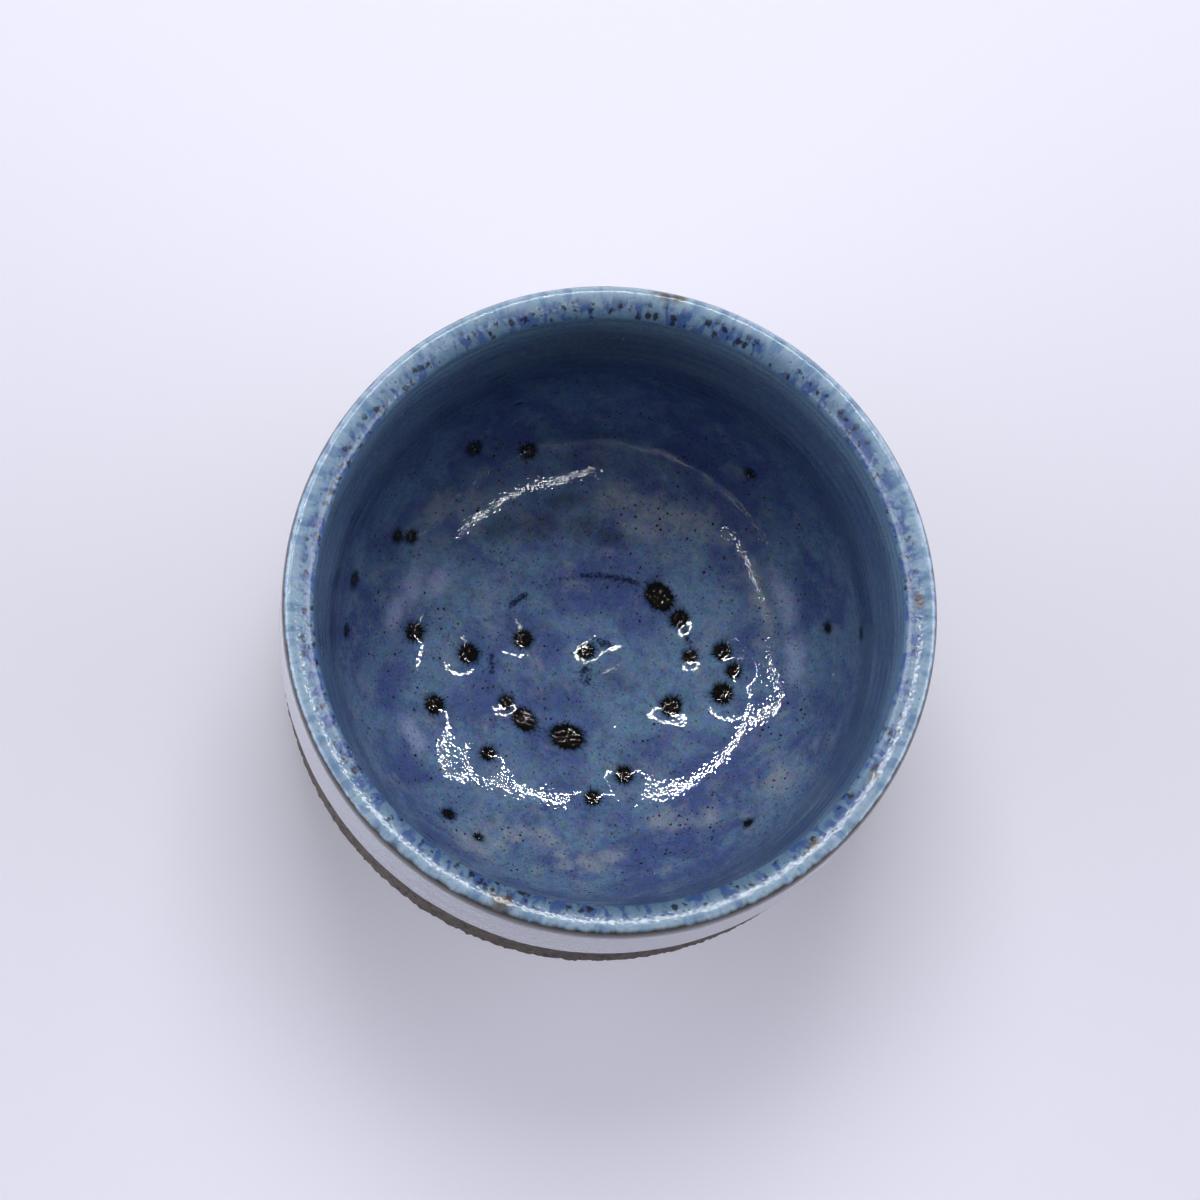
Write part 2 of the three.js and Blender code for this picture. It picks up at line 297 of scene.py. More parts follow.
# Slow swell of the fired glaze, a sum of plane waves, and the throwing rings, a sine of the reach that
# climbs one ring in a turn
def liningRelief(reach, turn, points):
    relief = np.zeros(points.shape[:-1])
    for heading, phase in zip(swellTurn, swellPhase):
        way = points[..., 0] * math.cos(heading) + points[..., 1] * math.sin(heading)
        way = way + lining["swellClimb"] * points[..., 2]
        relief += np.sin(2 * math.pi * way / lining["swellLength"] + phase)
    relief *= lining["swell"] / math.sqrt(lining["swellCount"])
    rings = lining["throwDepth"] * np.sin(2 * math.pi * reach / lining["throwSpacing"] + turn)
    rings = rings * smoothStep(reach, lining["wallStart"] * throatReach, throatReach)
    rings = rings * (1 - smoothStep(reach, lipReach - lining["throwFade"], lipReach))
    return relief * (1 - smoothStep(reach, lipReach - lining["swellFade"], lipReach)) + rings


# How a grain sits in the lining: reaches and widths in millimetres
grainSeats = {
    "growth": 0.6,  # power of its width by which its dimple grows
    "wallReach": (24, 30),  # over which dimples lose depth
    "middleReach": (4, 9),  # over which they gain it
    "ridgeNear": 2.0,  # from the ridge, within which a grain lies on it
    "ridgeWidths": (3.0, 3.4),  # from which such a grain spreads along the ridge
    "ridgeCut": 0.65,  # share of its dimple that it then loses
    "fill": 0.84,  # of its node's box
    "ridgeStretch": 0.12,  # by which it is then longer and narrower
}

# Seats of the grains, from the boxes of their nodes: centre, width, turn, and the reach that lies nearest
grainNames = sorted(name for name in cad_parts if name.startswith("iron_grain_"))
grainCorners = np.array([[list(corner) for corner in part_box(name)] for name in grainNames]) / mm
grainCentre = grainCorners.mean(axis=1)
grainWidth = (grainCorners[:, 1] - grainCorners[:, 0]).max(axis=1)
grainTurn = np.arctan2(grainCentre[:, 1], grainCentre[:, 0])
reachSteps = np.linspace(0, lipReach, 1200)
sideLines = onInnerSide(reachSteps[None, :], grainTurn[:, None], 0.5 * liningCoat(reachSteps)[None, :])
grainReach = reachSteps[np.linalg.norm(sideLines - grainCentre[:, None], axis=2).argmin(axis=1)]
grainSpot = onInnerSide(grainReach, grainTurn, liningCoat(grainReach))
grainScale = (grainWidth / lining["usualGrain"]) ** grainSeats["growth"]
onFloor = 1 - (1 - lining["wallDimple"]) * smoothStep(grainReach, *grainSeats["wallReach"])
ridgeReach = np.interp(handMarks["ridgeRadius"], liningSide["point"][:, 0], liningSide["reach"])
onRidge = bell(grainReach - ridgeReach, grainSeats["ridgeNear"])
onRidge *= smoothStep(grainWidth, *grainSeats["ridgeWidths"])
outOfMiddle = smoothStep(grainReach, *grainSeats["middleReach"])
awayFromMiddle = lining["middleDimple"] + (1 - lining["middleDimple"]) * outOfMiddle
dimpleDepth = lining["dimpleDepth"] * grainScale * onFloor * awayFromMiddle
dimpleDepth *= 1 - grainSeats["ridgeCut"] * onRidge
dimpleWidth = lining["dimpleWidth"] * grainScale
grainLong = grainWidth * (grainSeats["fill"] + grainSeats["ridgeStretch"] * onRidge)  # round the cup
grainWide = grainWidth * (grainSeats["fill"] - grainSeats["ridgeStretch"] * onRidge)  # away from its middle
hollowTurn, hollowReach, hollowDepth, hollowWidth = np.array(lining["hollows"]).T
hollowSpot = onInnerSide(hollowReach, np.radians(hollowTurn), liningCoat(hollowReach))


# Bell shaped dents, one for each spot: depth * bell of the distance from it
def dentsOf(points, spots, depths, widths):
    return np.array([
        depth * bell(np.linalg.norm(points - spot, axis=-1), width)
        for spot, depth, width in zip(spots, depths, widths)
    ])


# Free face of the lining: its coat, less a dimple round each grain and the wide hollows, plus its relief
# and a lift. Dimples join as the fourth root of the sum of their fourth powers
def onLining(reach, turn, lift):
    coat = cupForm["bondGap"] + liningCoat(reach)
    points = onInnerSide(reach, turn, coat)
    dimples = (dentsOf(points, grainSpot, dimpleDepth, dimpleWidth) ** 4).sum(axis=0) ** 0.25
    hollows = dentsOf(points, hollowSpot, hollowDepth, hollowWidth).sum(axis=0)
    return onInnerSide(reach, turn, coat + lift + liningRelief(reach, turn, points) - dimples - hollows)


# Marks in the lining that its finish reads: turns in degrees from +X, reaches and sizes in millimetres
liningMarks = {
    "inkWidth": 0.44,  # dark line on the crest of the floor's ridge
    "inkArcs": [  # from, to, strength
        (153, 173, 1.0), (74, 122, 0.95), (122, 153, 0.4), (26, 42, 0.9), (195, 217, 0.65), (-118, -90, 0.5),
    ],
    "inkFade": 6.0,  # degrees
    "inkSpotShare": 0.8,
    "inkSpots": [(-92, 2.2, 0.9, 1.1), (-75, 3.6, 0.8, 0.7), (70, 2.6, 1.6, 0.7)],  # as the clouds
    "cloudSpread": 1.35,  # by which the clouds below run into each other
    "clouds": [  # pale clouds: turn, reach, half length round, half length out
        (101, 23.2, 3, 2), (89, 22, 3.5, 2.4), (78, 23, 3.5, 2), (70, 24, 3, 1.8), (90, 19.8, 2.5, 1.2),
        (48, 24.4, 2.6, 1.2), (40, 23.4, 2.8, 1.3), (35, 23.4, 2, 1),
        (-95, 30.6, 1.5, 1.3), (-92, 28.4, 1.5, 1.1), (-89, 27, 1.5, 1), (-84, 26.9, 1.3, 0.9),
        (-81, 27.8, 1.1, 0.9), (-78, 29.4, 1.1, 1), (-76, 31.3, 1.3, 1.3), (-100, 33, 3, 2.5),
        (-69, 30.6, 2.2, 1.4), (-64, 29.8, 1.6, 1.0),
        (-45, 25.7, 2.2, 1.2), (-41, 27, 2, 1), (-33, 28.1, 1.6, 1.6), (-13, 32.5, 3, 2.4),
        (158, 30, 3, 1.6), (150, 27, 2.4, 1.3),
    ],
    "violet": [  # as the clouds
        (-21, 22.4, 5, 4), (-55, 29, 5, 4), (-78, 30.5, 3.5, 2.5), (-32, 25, 4, 3.5), (-125, 7.9, 4, 3),
        (28, 19.7, 3, 3), (70, 30, 6, 4), (-150, 27, 5, 3), (110, 12, 6, 4),
    ],
    "teal": [
        (-14, 9.8, 5, 4), (9, 12.8, 4, 3), (-64, 15.7, 5, 3), (-14, 33, 4, 3), (-157, 19.1, 5, 3),
        (176, 17.3, 5, 3), (-100, 22, 4, 2.5), (45, 15, 3, 3),
    ],
    "shade": [  # dark drifts on the far floor: partly the glaze's own darker patches, partly painted shade where the far rim shadows the floor
        (133, 20.6, 4.5, 2.6), (116, 19.3, 4.5, 2.2), (102, 18.2, 3.5, 1.8), (147, 22, 4, 2.5),
        (120, 23, 4, 1.6),
    ],
    "paintedSheen": [  # painted reflection of a soft light, laid on as pale lilac patches
        (-179, 25.9, 4, 2.6), (176, 22.5, 3, 2), (-170, 27, 4, 2), (-134, 26.4, 4, 2), (37, 27.1, 4.5, 2.2),
        (20, 27.3, 4, 2.2),
    ],
    "strokes": [  # dark strokes on the wall
        (133, 57, 1.2, 0.35), (147, 56, 1.6, 0.4), (129, 40, 1.0, 0.4), (193, 56, 2.0, 0.8),
        (188, 50.6, 1.8, 0.6),
    ],
    "edgeWidth": 1.6,  # of the brown edge outside the lip
    "edgeGain": 0.45,  # added to it on its widest side
    "edgeTurn": -68.5,  # degrees from +X to that side
    "edgeEnd": 0.95,  # the higher, the further down it ends
    "edgeFall": 2.0,  # how fast it ends
    "rough": [  # where the fired skin is roughest
        (-120, 24.2, 3.6, 4), (-103, 22.2, 2, 1.8), (-46, 20.7, 1.6, 1.6), (7, 25, 2.8, 3.2),
        (67, 2.4, 3.2, 2), (26, 46, 4, 4), (150, 52, 6, 6),
    ],
    "rust": [  # brown patches on the lip: turn, shift from the crest, half length round, half length out
        (102, 0.3, 1.6, 0.8), (99, 0.4, 1.4, 0.7), (-89, -0.4, 2.2, 1.3), (23, -1.1, 1.5, 0.9),
        (-12, -1.4, 1.2, 0.8), (-28, -1.3, 1.4, 0.8),
    ],
}


# Share of an arc between two turns in degrees: 1 inside it, fading to 0 at its ends
def arcShare(degrees, start, stop, fade):
    apart = np.abs((degrees - (start + stop) / 2 + 180) % 360 - 180)
    return 1 - smoothStep(apart, (stop - start) / 2 - fade, (stop - start) / 2)


# Oval patch on the surface: a bell of the distance, measured in half lengths round and out
def ovalPatch(reach, turn, radius, patchTurn, patchReach, halfRound, halfOut):
    apart = (turn - math.radians(patchTurn) + math.pi) % (2 * math.pi) - math.pi
    return np.exp(-((apart * radius / halfRound) ** 2) - ((reach - patchReach) / halfOut) ** 2)


# Highest of a list of oval patches
def patchesOf(reach, turn, radius, patches):
    return np.max([ovalPatch(reach, turn, radius, *patch) for patch in patches], axis=0)


def makeLining(material):
    turn = np.linspace(0, 2 * math.pi, lining["roundCount"], endpoint=False)
    frontReach = np.concatenate([[lining["middleReach"]], liningSide["reach"][1:]])
    backReach = np.linspace(endReach, lining["middleReach"], lining["backRings"])
    front = onLining(frontReach[:, None], turn[None, :], 0.0)
    backLift = cupForm["bondGap"] - lining["backDepth"] * (1 - smoothStep(backReach, throatReach, lipReach))
    back = onInnerSide(backReach[:, None], turn[None, :], backLift[:, None])
    rings = np.concatenate([front, back])
    reach = np.concatenate([frontReach, backReach])[:, None] + 0 * turn[None, :]
    turns = turn[None, :] + 0 * reach
    flat = onInnerSide(reach, turns, cupForm["bondGap"] + liningCoat(reach))
    radius = np.hypot(flat[..., 0], flat[..., 1])

    # nearest grain: way round it as cosine and sine, and how far its outline is
    nearest = np.full(reach.shape, 1e6)
    ray = np.zeros(reach.shape + (3,))
    for spot, long, wide, seatTurn in zip(grainSpot, grainLong, grainWide, grainTurn):
        offset = flat - spot
        roundWay = -offset[..., 0] * math.sin(seatTurn) + offset[..., 1] * math.cos(seatTurn)
        outWay = np.sqrt(np.maximum((offset**2).sum(axis=-1) - roundWay**2, 0))
        outward = offset[..., 0] * math.cos(seatTurn) + offset[..., 1] * math.sin(seatTurn)
        outWay *= np.sign(outward + offset[..., 2])
        share = np.hypot(2 * outWay / wide, 2 * roundWay / long)
        gap = (share - 1) * 0.5 * math.sqrt(long * wide)
        closer = gap < nearest
        nearest = np.where(closer, gap, nearest)
        length = np.hypot(roundWay, outWay) + 1e-6
        ray = np.where(closer[..., None], np.stack([outWay / length, roundWay / length, gap], axis=-1), ray)

    # dark line on the ridge, pale clouds, and brown patches on the lip
    crest = reach - ridgeReach
    arcs = np.zeros(reach.shape)
    degrees = np.degrees(turns)
    for start, stop, strength in liningMarks["inkArcs"]:
        arcs = np.maximum(arcs, strength * arcShare(degrees, start, stop, liningMarks["inkFade"]))
    inkSpots = liningMarks["inkSpotShare"] * patchesOf(reach, turns, radius, liningMarks["inkSpots"])
    ink = np.maximum(arcs * bell(crest, liningMarks["inkWidth"]), inkSpots)
    violet, teal, rough, shade, strokes, paintedSheen = (
        patchesOf(reach, turns, radius, liningMarks[name])
        for name in ("violet", "teal", "rough", "shade", "strokes", "paintedSheen")
    )
    spread = liningMarks["cloudSpread"]
    cloudPlaces = [(*patch[:2], spread * patch[2], spread * patch[3]) for patch in liningMarks["clouds"]]
    clouds = patchesOf(reach, turns, radius, cloudPlaces)
    nearEdge = 0.5 + 0.5 * np.cos(turns - math.radians(liningMarks["edgeTurn"]))
    edge = reach - springReach + liningMarks["edgeWidth"] + liningMarks["edgeGain"] * nearEdge
    edge = np.minimum(edge, liningMarks["edgeEnd"] - liningMarks["edgeFall"] * (reach - springReach))
    rustPlaces = [(patch[0], crestReach + patch[1], *patch[2:]) for patch in liningMarks["rust"]]
    rust = patchesOf(reach, turns, radius, rustPlaces)
    flow = np.stack([clayRadius * np.cos(turns), clayRadius * np.sin(turns), reach], axis=-1)
    quads, fans = skinFaces(*reach.shape, True)
    attributes = {
        "flow": ringValues(flow, True),
        "ironRay": ringValues(ray, True),
        "marks": ringValues(np.stack([ink, clouds, rust], axis=-1), True),
        "tints": ringValues(np.stack([violet, teal, rough], axis=-1), True),
        "darks": ringValues(np.stack([shade, strokes, edge], axis=-1), True),
        "paintedSheens": ringValues(np.stack([paintedSheen, 0 * paintedSheen, 0 * paintedSheen], axis=-1), True),
    }
    piece = makePiece("blue_glaze_lining", ringValues(rings, True), quads, fans, attributes)
    fitPiece(piece, material, ["blue_lining"])


# Iron grains
ironGrains = {
    "rings": 9,
    "roundCount": 60,
    "ragged": 0.13,  # how far the outline runs in and out
    "ragWaves": (2, 3, 5, 8, 13, 19),
    "rise": 0.06,  # of the puddle above the glaze
    "sink": 0.16,  # of its underside below it
    "wrinkle": 0.06,
    "wrinkleLength": 0.8,
    "wrinkleCount": 5,
    "wrinklePhase": 7.0,  # turns a heading into a phase
    "core": 0.12,  # share of the outline at the first ring
    "seatDepth": 0.03,  # of its rim below the glaze
}


# Each grain is a puddle that follows its dimple: rings of (reach, turn) round the seat, lifted by a low dome
# with plane waves of wrinkles, and closed by a bowl shaped underside
def makeGrains(material):
    draw = np.random.default_rng(5)
    angle = np.linspace(0, 2 * math.pi, ironGrains["roundCount"], endpoint=False)
    topShare = np.linspace(ironGrains["core"], 1, ironGrains["rings"])
    share = np.concatenate([topShare, topShare[::-1][1:]])
    isTop = np.concatenate([np.ones(len(topShare)), np.zeros(len(topShare) - 1)])
    points = []
    for seatReach, seatTurn, long, wide in zip(grainReach, grainTurn, grainLong, grainWide):
        phases = draw.uniform(0, 2 * math.pi, len(ironGrains["ragWaves"]))
        outline = 1 + sum(
            ironGrains["ragged"] / math.sqrt(wave) * np.sin(wave * angle + phase)
            for wave, phase in zip(ironGrains["ragWaves"], phases)
        )
        span = 0.5 * outline[None, :] * share[:, None]
        out = wide * span * np.cos(angle)
        beside = long * span * np.sin(angle)
        seatRadius = np.interp(seatReach, liningSide["reach"], liningSide["point"][:, 0])
        reach = seatReach + np.hypot(seatRadius + out, beside) - seatRadius
        turn = seatTurn + np.arctan2(beside, seatRadius + out)
        wrinkles = np.zeros(span.shape)
        for heading in draw.uniform(0, 2 * math.pi, ironGrains["wrinkleCount"]):
            way = out * math.cos(heading) + beside * math.sin(heading)
            phase = ironGrains["wrinklePhase"] * heading
            wrinkles += np.sin(2 * math.pi * way / ironGrains["wrinkleLength"] + phase)
        fade = 1 - share[:, None] ** 4
        wrinkles *= ironGrains["wrinkle"] / math.sqrt(ironGrains["wrinkleCount"])
        top = (ironGrains["rise"] + wrinkles) * fade
        under = -ironGrains["sink"] * np.sqrt(1 - share[:, None] ** 2) + 0 * span
        lift = np.where(isTop[:, None] > 0, top, under) - ironGrains["seatDepth"]
        points.append(ringValues(onLining(reach, turn, lift), True))
    quads, fans = skinFaces(len(share), len(angle), True)
    shift = (np.arange(len(points)) * len(points[0]))[:, None, None]
    allQuads = (quads[None] + shift).reshape(-1, 4)
    allFans = (fans[None] + shift).reshape(-1, 3)
    piece = makePiece("iron_spots", np.concatenate(points), allQuads, allFans, {})
    fitPiece(piece, material, grainNames)


# Raw clay body
clayBody = {
    "roundCount": 680,
    "hiddenRings": 14,
    "hiddenDepth": 0.35,  # of the hidden inner side below the clay's line
    "bellySteps": 400,  # points at which a curve is worked out before it is spread evenly
    "footSteps": 60,
    "coveredRings": 4,
    "coveredRim": 1.0,  # above the glaze line, where the fine rings begin
    "wallRings": 40,
    "bellyRings": 32,
    "slopeRings": 20,
    "footRings": 14,
    "recessRings": 16,
    "bellyHeight": 17.5,
    "bellyRound": 11.0,
    "footDiameter": 54.0,
    "footHeight": 3.2,
    "footRingWidth": 5.5,
    "recessSlope": 1.5,
    "recessFoot": 1.2,  # of the foot's edge, where the slope of the hollow starts
    "recessPull": 0.3,  # of the slope, by which its end is rounded
    "middleGap": 0.15,  # of the last ring round the middle
    "footEdge": 0.7,
    "sandDepth": 0.085,  # coarse sand standing out of the clay
    "turnDepth": 0.05,  # lines left by the turning tool
    "turnSpacing": 1.9,
    "fineTurns": 0.6,  # depth of the finer lines against these
    "fineSpacing": 0.703,
    "bareLimits": (-0.5, 0.8),  # round the glaze line, over which the texture starts
    "flatFoot": 0.45,  # height over which the standing ring is kept smooth
}


# Outside of the clay in profile: wall, round belly that is tangent to the slope, slope to the foot ring,
# the ring with rounded edges and the hollow inside it
def clayOutside():
    footOuter = clayBody["footDiameter"] / 2
    footInner = footOuter - clayBody["footRingWidth"]
    edge = clayBody["footEdge"]
    steps = clayBody["footSteps"]
    bellyRound = clayBody["bellyRound"]
    centre = np.array([bellyRadius - bellyRound, clayBody["bellyHeight"]])
    toFoot = np.array([footOuter, clayBody["footHeight"]]) - centre
    distance = np.hypot(*toFoot)
    tangentTurn = math.atan2(toFoot[1], toFoot[0]) + math.acos(bellyRound / distance)
    slopeStart = centre + bellyRound * np.array([math.cos(tangentTurn), math.sin(tangentTurn)])
    belly = ellipseLine(centre, bellyRound, bellyRound, 0, math.degrees(tangentTurn), clayBody["bellySteps"])
    recess = cupForm["footRecess"]
    bareHeight = glazeLine + clayBody["coveredRim"]
    bareShare = (lipSpring - bareHeight) / (lipSpring - clayBody["bellyHeight"])
    bareTop = (clayRadius + bareShare * cupForm["wallSpread"], bareHeight)
    footLine = np.concatenate([
        straightLine((footOuter, clayBody["footHeight"]), (footOuter, edge), steps),
        ellipseLine((footOuter - edge, edge), edge, edge, 0, -90, steps)[1:],
        ellipseLine((footInner + edge, edge), edge, edge, -90, -180, steps),
    ])
    slopeFoot = (footInner, clayBody["recessFoot"] * edge)
    slopePull = (footInner - clayBody["recessPull"] * clayBody["recessSlope"], recess)
    slopeEnd = (footInner - clayBody["recessSlope"], recess)
    hollow = np.concatenate([
        straightLine((footInner, edge), slopeFoot, steps),
        bezierLine(slopeFoot, (footInner, recess), slopePull, slopeEnd, steps)[1:],
        straightLine(slopeEnd, (clayBody["middleGap"], recess), steps)[1:],
    ])
    return [
        straightLine((clayRadius, lipSpring), bareTop, clayBody["coveredRings"]),
        straightLine(bareTop, (bellyRadius, clayBody["bellyHeight"]), clayBody["wallRings"]),
        spreadEvenly(belly, clayBody["bellyRings"]),
        straightLine(slopeStart, (footOuter, clayBody["footHeight"]), clayBody["slopeRings"]),
        spreadEvenly(footLine, clayBody["footRings"]),
        spreadEvenly(hollow, clayBody["recessRings"]),
    ]


# Clay skin: the hidden inner side, then the outside moved along its direction away by sand, a smoothed
# random draw, and by turning lines, two sines of the reach that climb or fall one line in a turn
def makeClay(material):
    turn = np.linspace(0, 2 * math.pi, clayBody["roundCount"], endpoint=False)
    outside = stationsOf(clayOutside())
    hiddenReach = np.linspace(lining["middleReach"], springReach, clayBody["hiddenRings"])[:-1]
    hiddenLift = -clayBody["hiddenDepth"] * (1 - smoothStep(hiddenReach, throatReach, lipReach))
    hidden = onInnerSide(hiddenReach[:, None], turn[None, :], hiddenLift[:, None])
    reach = outside["reach"][:, None]
    sand = np.random.default_rng(3).normal(0, 1, (len(outside["reach"]), len(turn)))
    sand = (2 * sand + np.roll(sand, 1, axis=1) + np.roll(sand, 1, axis=0)) / math.sqrt(6)
    bareReach = lipSpring - glazeLine + np.array(clayBody["bareLimits"])
    bare = smoothStep(reach, *bareReach)
    flatFoot = 1 - bell(outside["point"][:, 1:2], clayBody["flatFoot"])
    lines = np.sin(2 * math.pi * reach / clayBody["turnSpacing"] + turn[None, :])
    lines += clayBody["fineTurns"] * np.sin(2 * math.pi * reach / clayBody["fineSpacing"] - turn[None, :])
    lift = clayBody["sandDepth"] * (sand - 1) + clayBody["turnDepth"] * 0.5 * (lines - 1)
    lift = bare * flatFoot * lift
    radius = outside["point"][:, 0:1] + lift * outside["away"][:, 0:1]
    height = outside["point"][:, 1:2] + lift * outside["away"][:, 1:2]
    rings = np.concatenate([hidden, shapeByHand(radius, turn[None, :], height)])
    quads, fans = skinFaces(*rings.shape[:2], True)
    piece = makePiece("raw_clay_body", ringValues(rings, True), quads, fans, {})
    fitPiece(piece, material, ["clay_body"])


# Pale coat on the outside
paleCoat = {
    "roundCount": 384,
    "frontRings": 70,
    "backRings": 10,
    "topEdge": 0.8,  # over which it thins under the lining's edge
    "lowEdge": 0.7,  # over which it rounds off at the glaze line
    "lineWander": 0.16,  # rise and fall of the glaze line
    "runs": 0.05,  # soft runs down the wall
    "runWaves": (11, 23, 37),
    "lineWaves": ((3, 0.4), (7, 2.1), (17, 4.0), (29, 1.3), (53, 5.2)),  # waves in a turn, and phase
    "topGap": 0.2,  # from the foot of the lip to its top
    "leastThickness": 0.02,
    "backDepth": 0.03,  # of its hidden side below the bond
}


# Front of the coat at an even thickness, rounded off at the glaze line and thinned at the top, with runs
# that are sines of the turn, and back along the clay
def makePaleCoat(material):
    turn = np.linspace(0, 2 * math.pi, paleCoat["roundCount"], endpoint=False)[None, :]
    wander = np.zeros(turn.shape)
    for waves, phase in paleCoat["lineWaves"]:
        wander += np.sin(waves * turn + phase) / math.sqrt(waves / paleCoat["lineWaves"][0][0])
    bottom = glazeLine + paleCoat["lineWander"] * wander
    top = lipSpring - paleCoat["topGap"] + 0 * turn
    share = 0.5 - 0.5 * np.cos(np.linspace(0, math.pi, paleCoat["frontRings"]))[:, None]
    height = top + (bottom - top) * share
    down = np.clip((height - bottom) / paleCoat["lowEdge"], 0, 1)
    up = np.clip((top - height) / paleCoat["topEdge"], 0, 1)
    thickness = cupForm["coatThickness"] * np.sqrt(down * (2 - down)) * smoothStep(up, 0, 1)
    runs = np.mean([np.sin(waves * turn + waves) for waves in paleCoat["runWaves"]], axis=0)
    thickness = thickness * (1 + paleCoat["runs"] * runs) + paleCoat["leastThickness"]
    backHeight = bottom + (top - bottom) * np.linspace(0, 1, paleCoat["backRings"])[:, None]

    def onOutside(z, lift):
        lean = (lipSpring - z) / (lipSpring - clayBody["bellyHeight"])
        return shapeByHand(clayRadius + (bellyRadius - clayRadius) * lean + lift, turn + 0 * z, z)

    front = onOutside(height, cupForm["bondGap"] + thickness)
    back = onOutside(backHeight, cupForm["bondGap"] - paleCoat["backDepth"])
    rings = np.concatenate([front, back])
    quads, fans = skinFaces(*rings.shape[:2], False)
    z = np.concatenate([height, backHeight])
    flow = np.stack([clayRadius * np.cos(turn) + 0 * z, clayRadius * np.sin(turn) + 0 * z, z], axis=-1)
    attributes = {"flow": ringValues(flow, False)}
    piece = makePiece("pale_glaze_coat", ringValues(rings, False), quads, fans, attributes)
    fitPiece(piece, material, ["pale_coat"])


# Colour as an eye names it, red, green and blue up to 255, in the linear values that shaders take
def tone(red, green, blue):
    share = np.array([red, green, blue]) / 255
    linear = np.where(share <= 0.04045, share / 12.92, ((share + 0.055) / 1.055) ** 2.4)
    return (*linear.tolist(), 1.0)


# Node with its settings, whose inputs are values or other nodes' outputs
def addNode(tree, kind, inputs=None, **settings):
    node = tree.nodes.new(kind)
    for name, value in settings.items():
        setattr(node, name, value)
    for socket, value in (inputs or {}).items():
        if isinstance(value, bpy.types.NodeSocket):
            tree.links.new(value, node.inputs[socket])
        else:
            node.inputs[socket].default_value = value
    return node


def mathOf(tree, operation, *values):
    return addNode(tree, "ShaderNodeMath", dict(enumerate(values)), operation=operation).outputs[0]


def easeOf(tree, value, low, high):
    settings = {"interpolation_type": "SMOOTHSTEP"}
    return addNode(tree, "ShaderNodeMapRange", {0: value, 1: low, 2: high}, **settings).outputs[0]


def mixOf(tree, share, first, second):
    return addNode(tree, "ShaderNodeMix", {0: share, 6: first, 7: second}, data_type="RGBA").outputs[2]


def noiseOf(tree, where, size, detail=2.0, distortion=0.0):
    inputs = {"Vector": where, "Scale": 1 / size, "Detail": detail, "Distortion": distortion}
    return addNode(tree, "ShaderNodeTexNoise", inputs).outputs[0]


def stretchOf(tree, where, scale):
    return addNode(tree, "ShaderNodeMapping", {"Vector": where, "Scale": scale}).outputs[0]


def splitOf(tree, vector):
    return addNode(tree, "ShaderNodeSeparateXYZ", {0: vector}).outputs


def attributeOf(tree, name):
    return addNode(tree, "ShaderNodeAttribute", attribute_name=name).outputs["Vector"]


# Object coordinates in millimetres
def placeOf(tree):
    place = addNode(tree, "ShaderNodeTexCoord").outputs["Object"]
    return addNode(tree, "ShaderNodeVectorMath", {0: place, "Scale": 1 / mm}, operation="SCALE").outputs[0]


# Shader group with named inputs, given as {name: (kind, value)}, and outputs, given as {name: kind}
def startGroup(name, inputs, outputs):
    group = bpy.data.node_groups.new(name, "ShaderNodeTree")
    for label, (kind, value) in inputs.items():
        socket = group.interface.new_socket(label, in_out="INPUT", socket_type="NodeSocket" + kind)
        if value is not None:
            socket.default_value = value
    for label, kind in outputs.items():
        group.interface.new_socket(label, in_out="OUTPUT", socket_type="NodeSocket" + kind)
    return group, group.nodes.new("NodeGroupInput").outputs, group.nodes.new("NodeGroupOutput").inputs


def useGroup(tree, group, inputs):
    return addNode(tree, "ShaderNodeGroup", inputs, node_tree=group).outputs


# Specks: cells of a Voronoi pattern, of which a share holds a speck of its own size, with a wavering rim
def makeSpeckGroup():
    group, given, wanted = startGroup(
        "specks",
        {
            "Vector": ("Vector", None), "Spacing": ("Float", 1.0),
            "Share": ("Float", 0.3), "Radius": ("Float", 0.2),
        },
        {"Mask": "Float"},
    )
    density = mathOf(group, "DIVIDE", 1.0, given["Spacing"])
    cells = addNode(group, "ShaderNodeTexVoronoi", {"Vector": given["Vector"], "Scale": density}).outputs
    chance = splitOf(group, cells["Color"])[0]
    holds = mathOf(group, "SUBTRACT", mathOf(group, "ADD", chance, given["Share"]), 1.0)
    share = mathOf(group, "MAXIMUM", mathOf(group, "DIVIDE", holds, given["Share"]), 0.0)
    size = mathOf(group, "MULTIPLY", mathOf(group, "MULTIPLY", share, given["Radius"]), density)
    rimDensity = mathOf(group, "DIVIDE", 0.8, given["Radius"])
    rimInputs = {"Vector": given["Vector"], "Scale": rimDensity, "Detail": 1.0}
    rim = addNode(group, "ShaderNodeTexNoise", rimInputs).outputs[0]
    away = mathOf(group, "MULTIPLY", cells["Distance"], mathOf(group, "MULTIPLY_ADD", rim, 1.6, 0.2))
    outer = mathOf(group, "ADD", size, 0.0002)
    group.links.new(easeOf(group, away, outer, mathOf(group, "MULTIPLY", size, 0.5)), wanted["Mask"])
    return group


# Mottling: two colours that drift into each other over clouds of the given size
def makeMottleGroup():
    group, given, wanted = startGroup(
        "mottling",
        {
            "Vector": ("Vector", None), "Size": ("Float", 8.0), "Contrast": ("Float", 0.12),
            "First": ("Color", None), "Second": ("Color", None),
        },
        {"Color": "Color"},
    )
    density = mathOf(group, "DIVIDE", 1.0, given["Size"])
    inputs = {"Vector": given["Vector"], "Scale": density, "Detail": 4.0, "Roughness": 0.6, "Distortion": 0.6}
    clouds = addNode(group, "ShaderNodeTexNoise", inputs).outputs[0]
    low = mathOf(group, "SUBTRACT", 0.5, given["Contrast"])
    high = mathOf(group, "ADD", 0.5, given["Contrast"])
    mixed = mixOf(group, easeOf(group, clouds, low, high), given["First"], given["Second"])
    group.links.new(mixed, wanted["Color"])
    return group


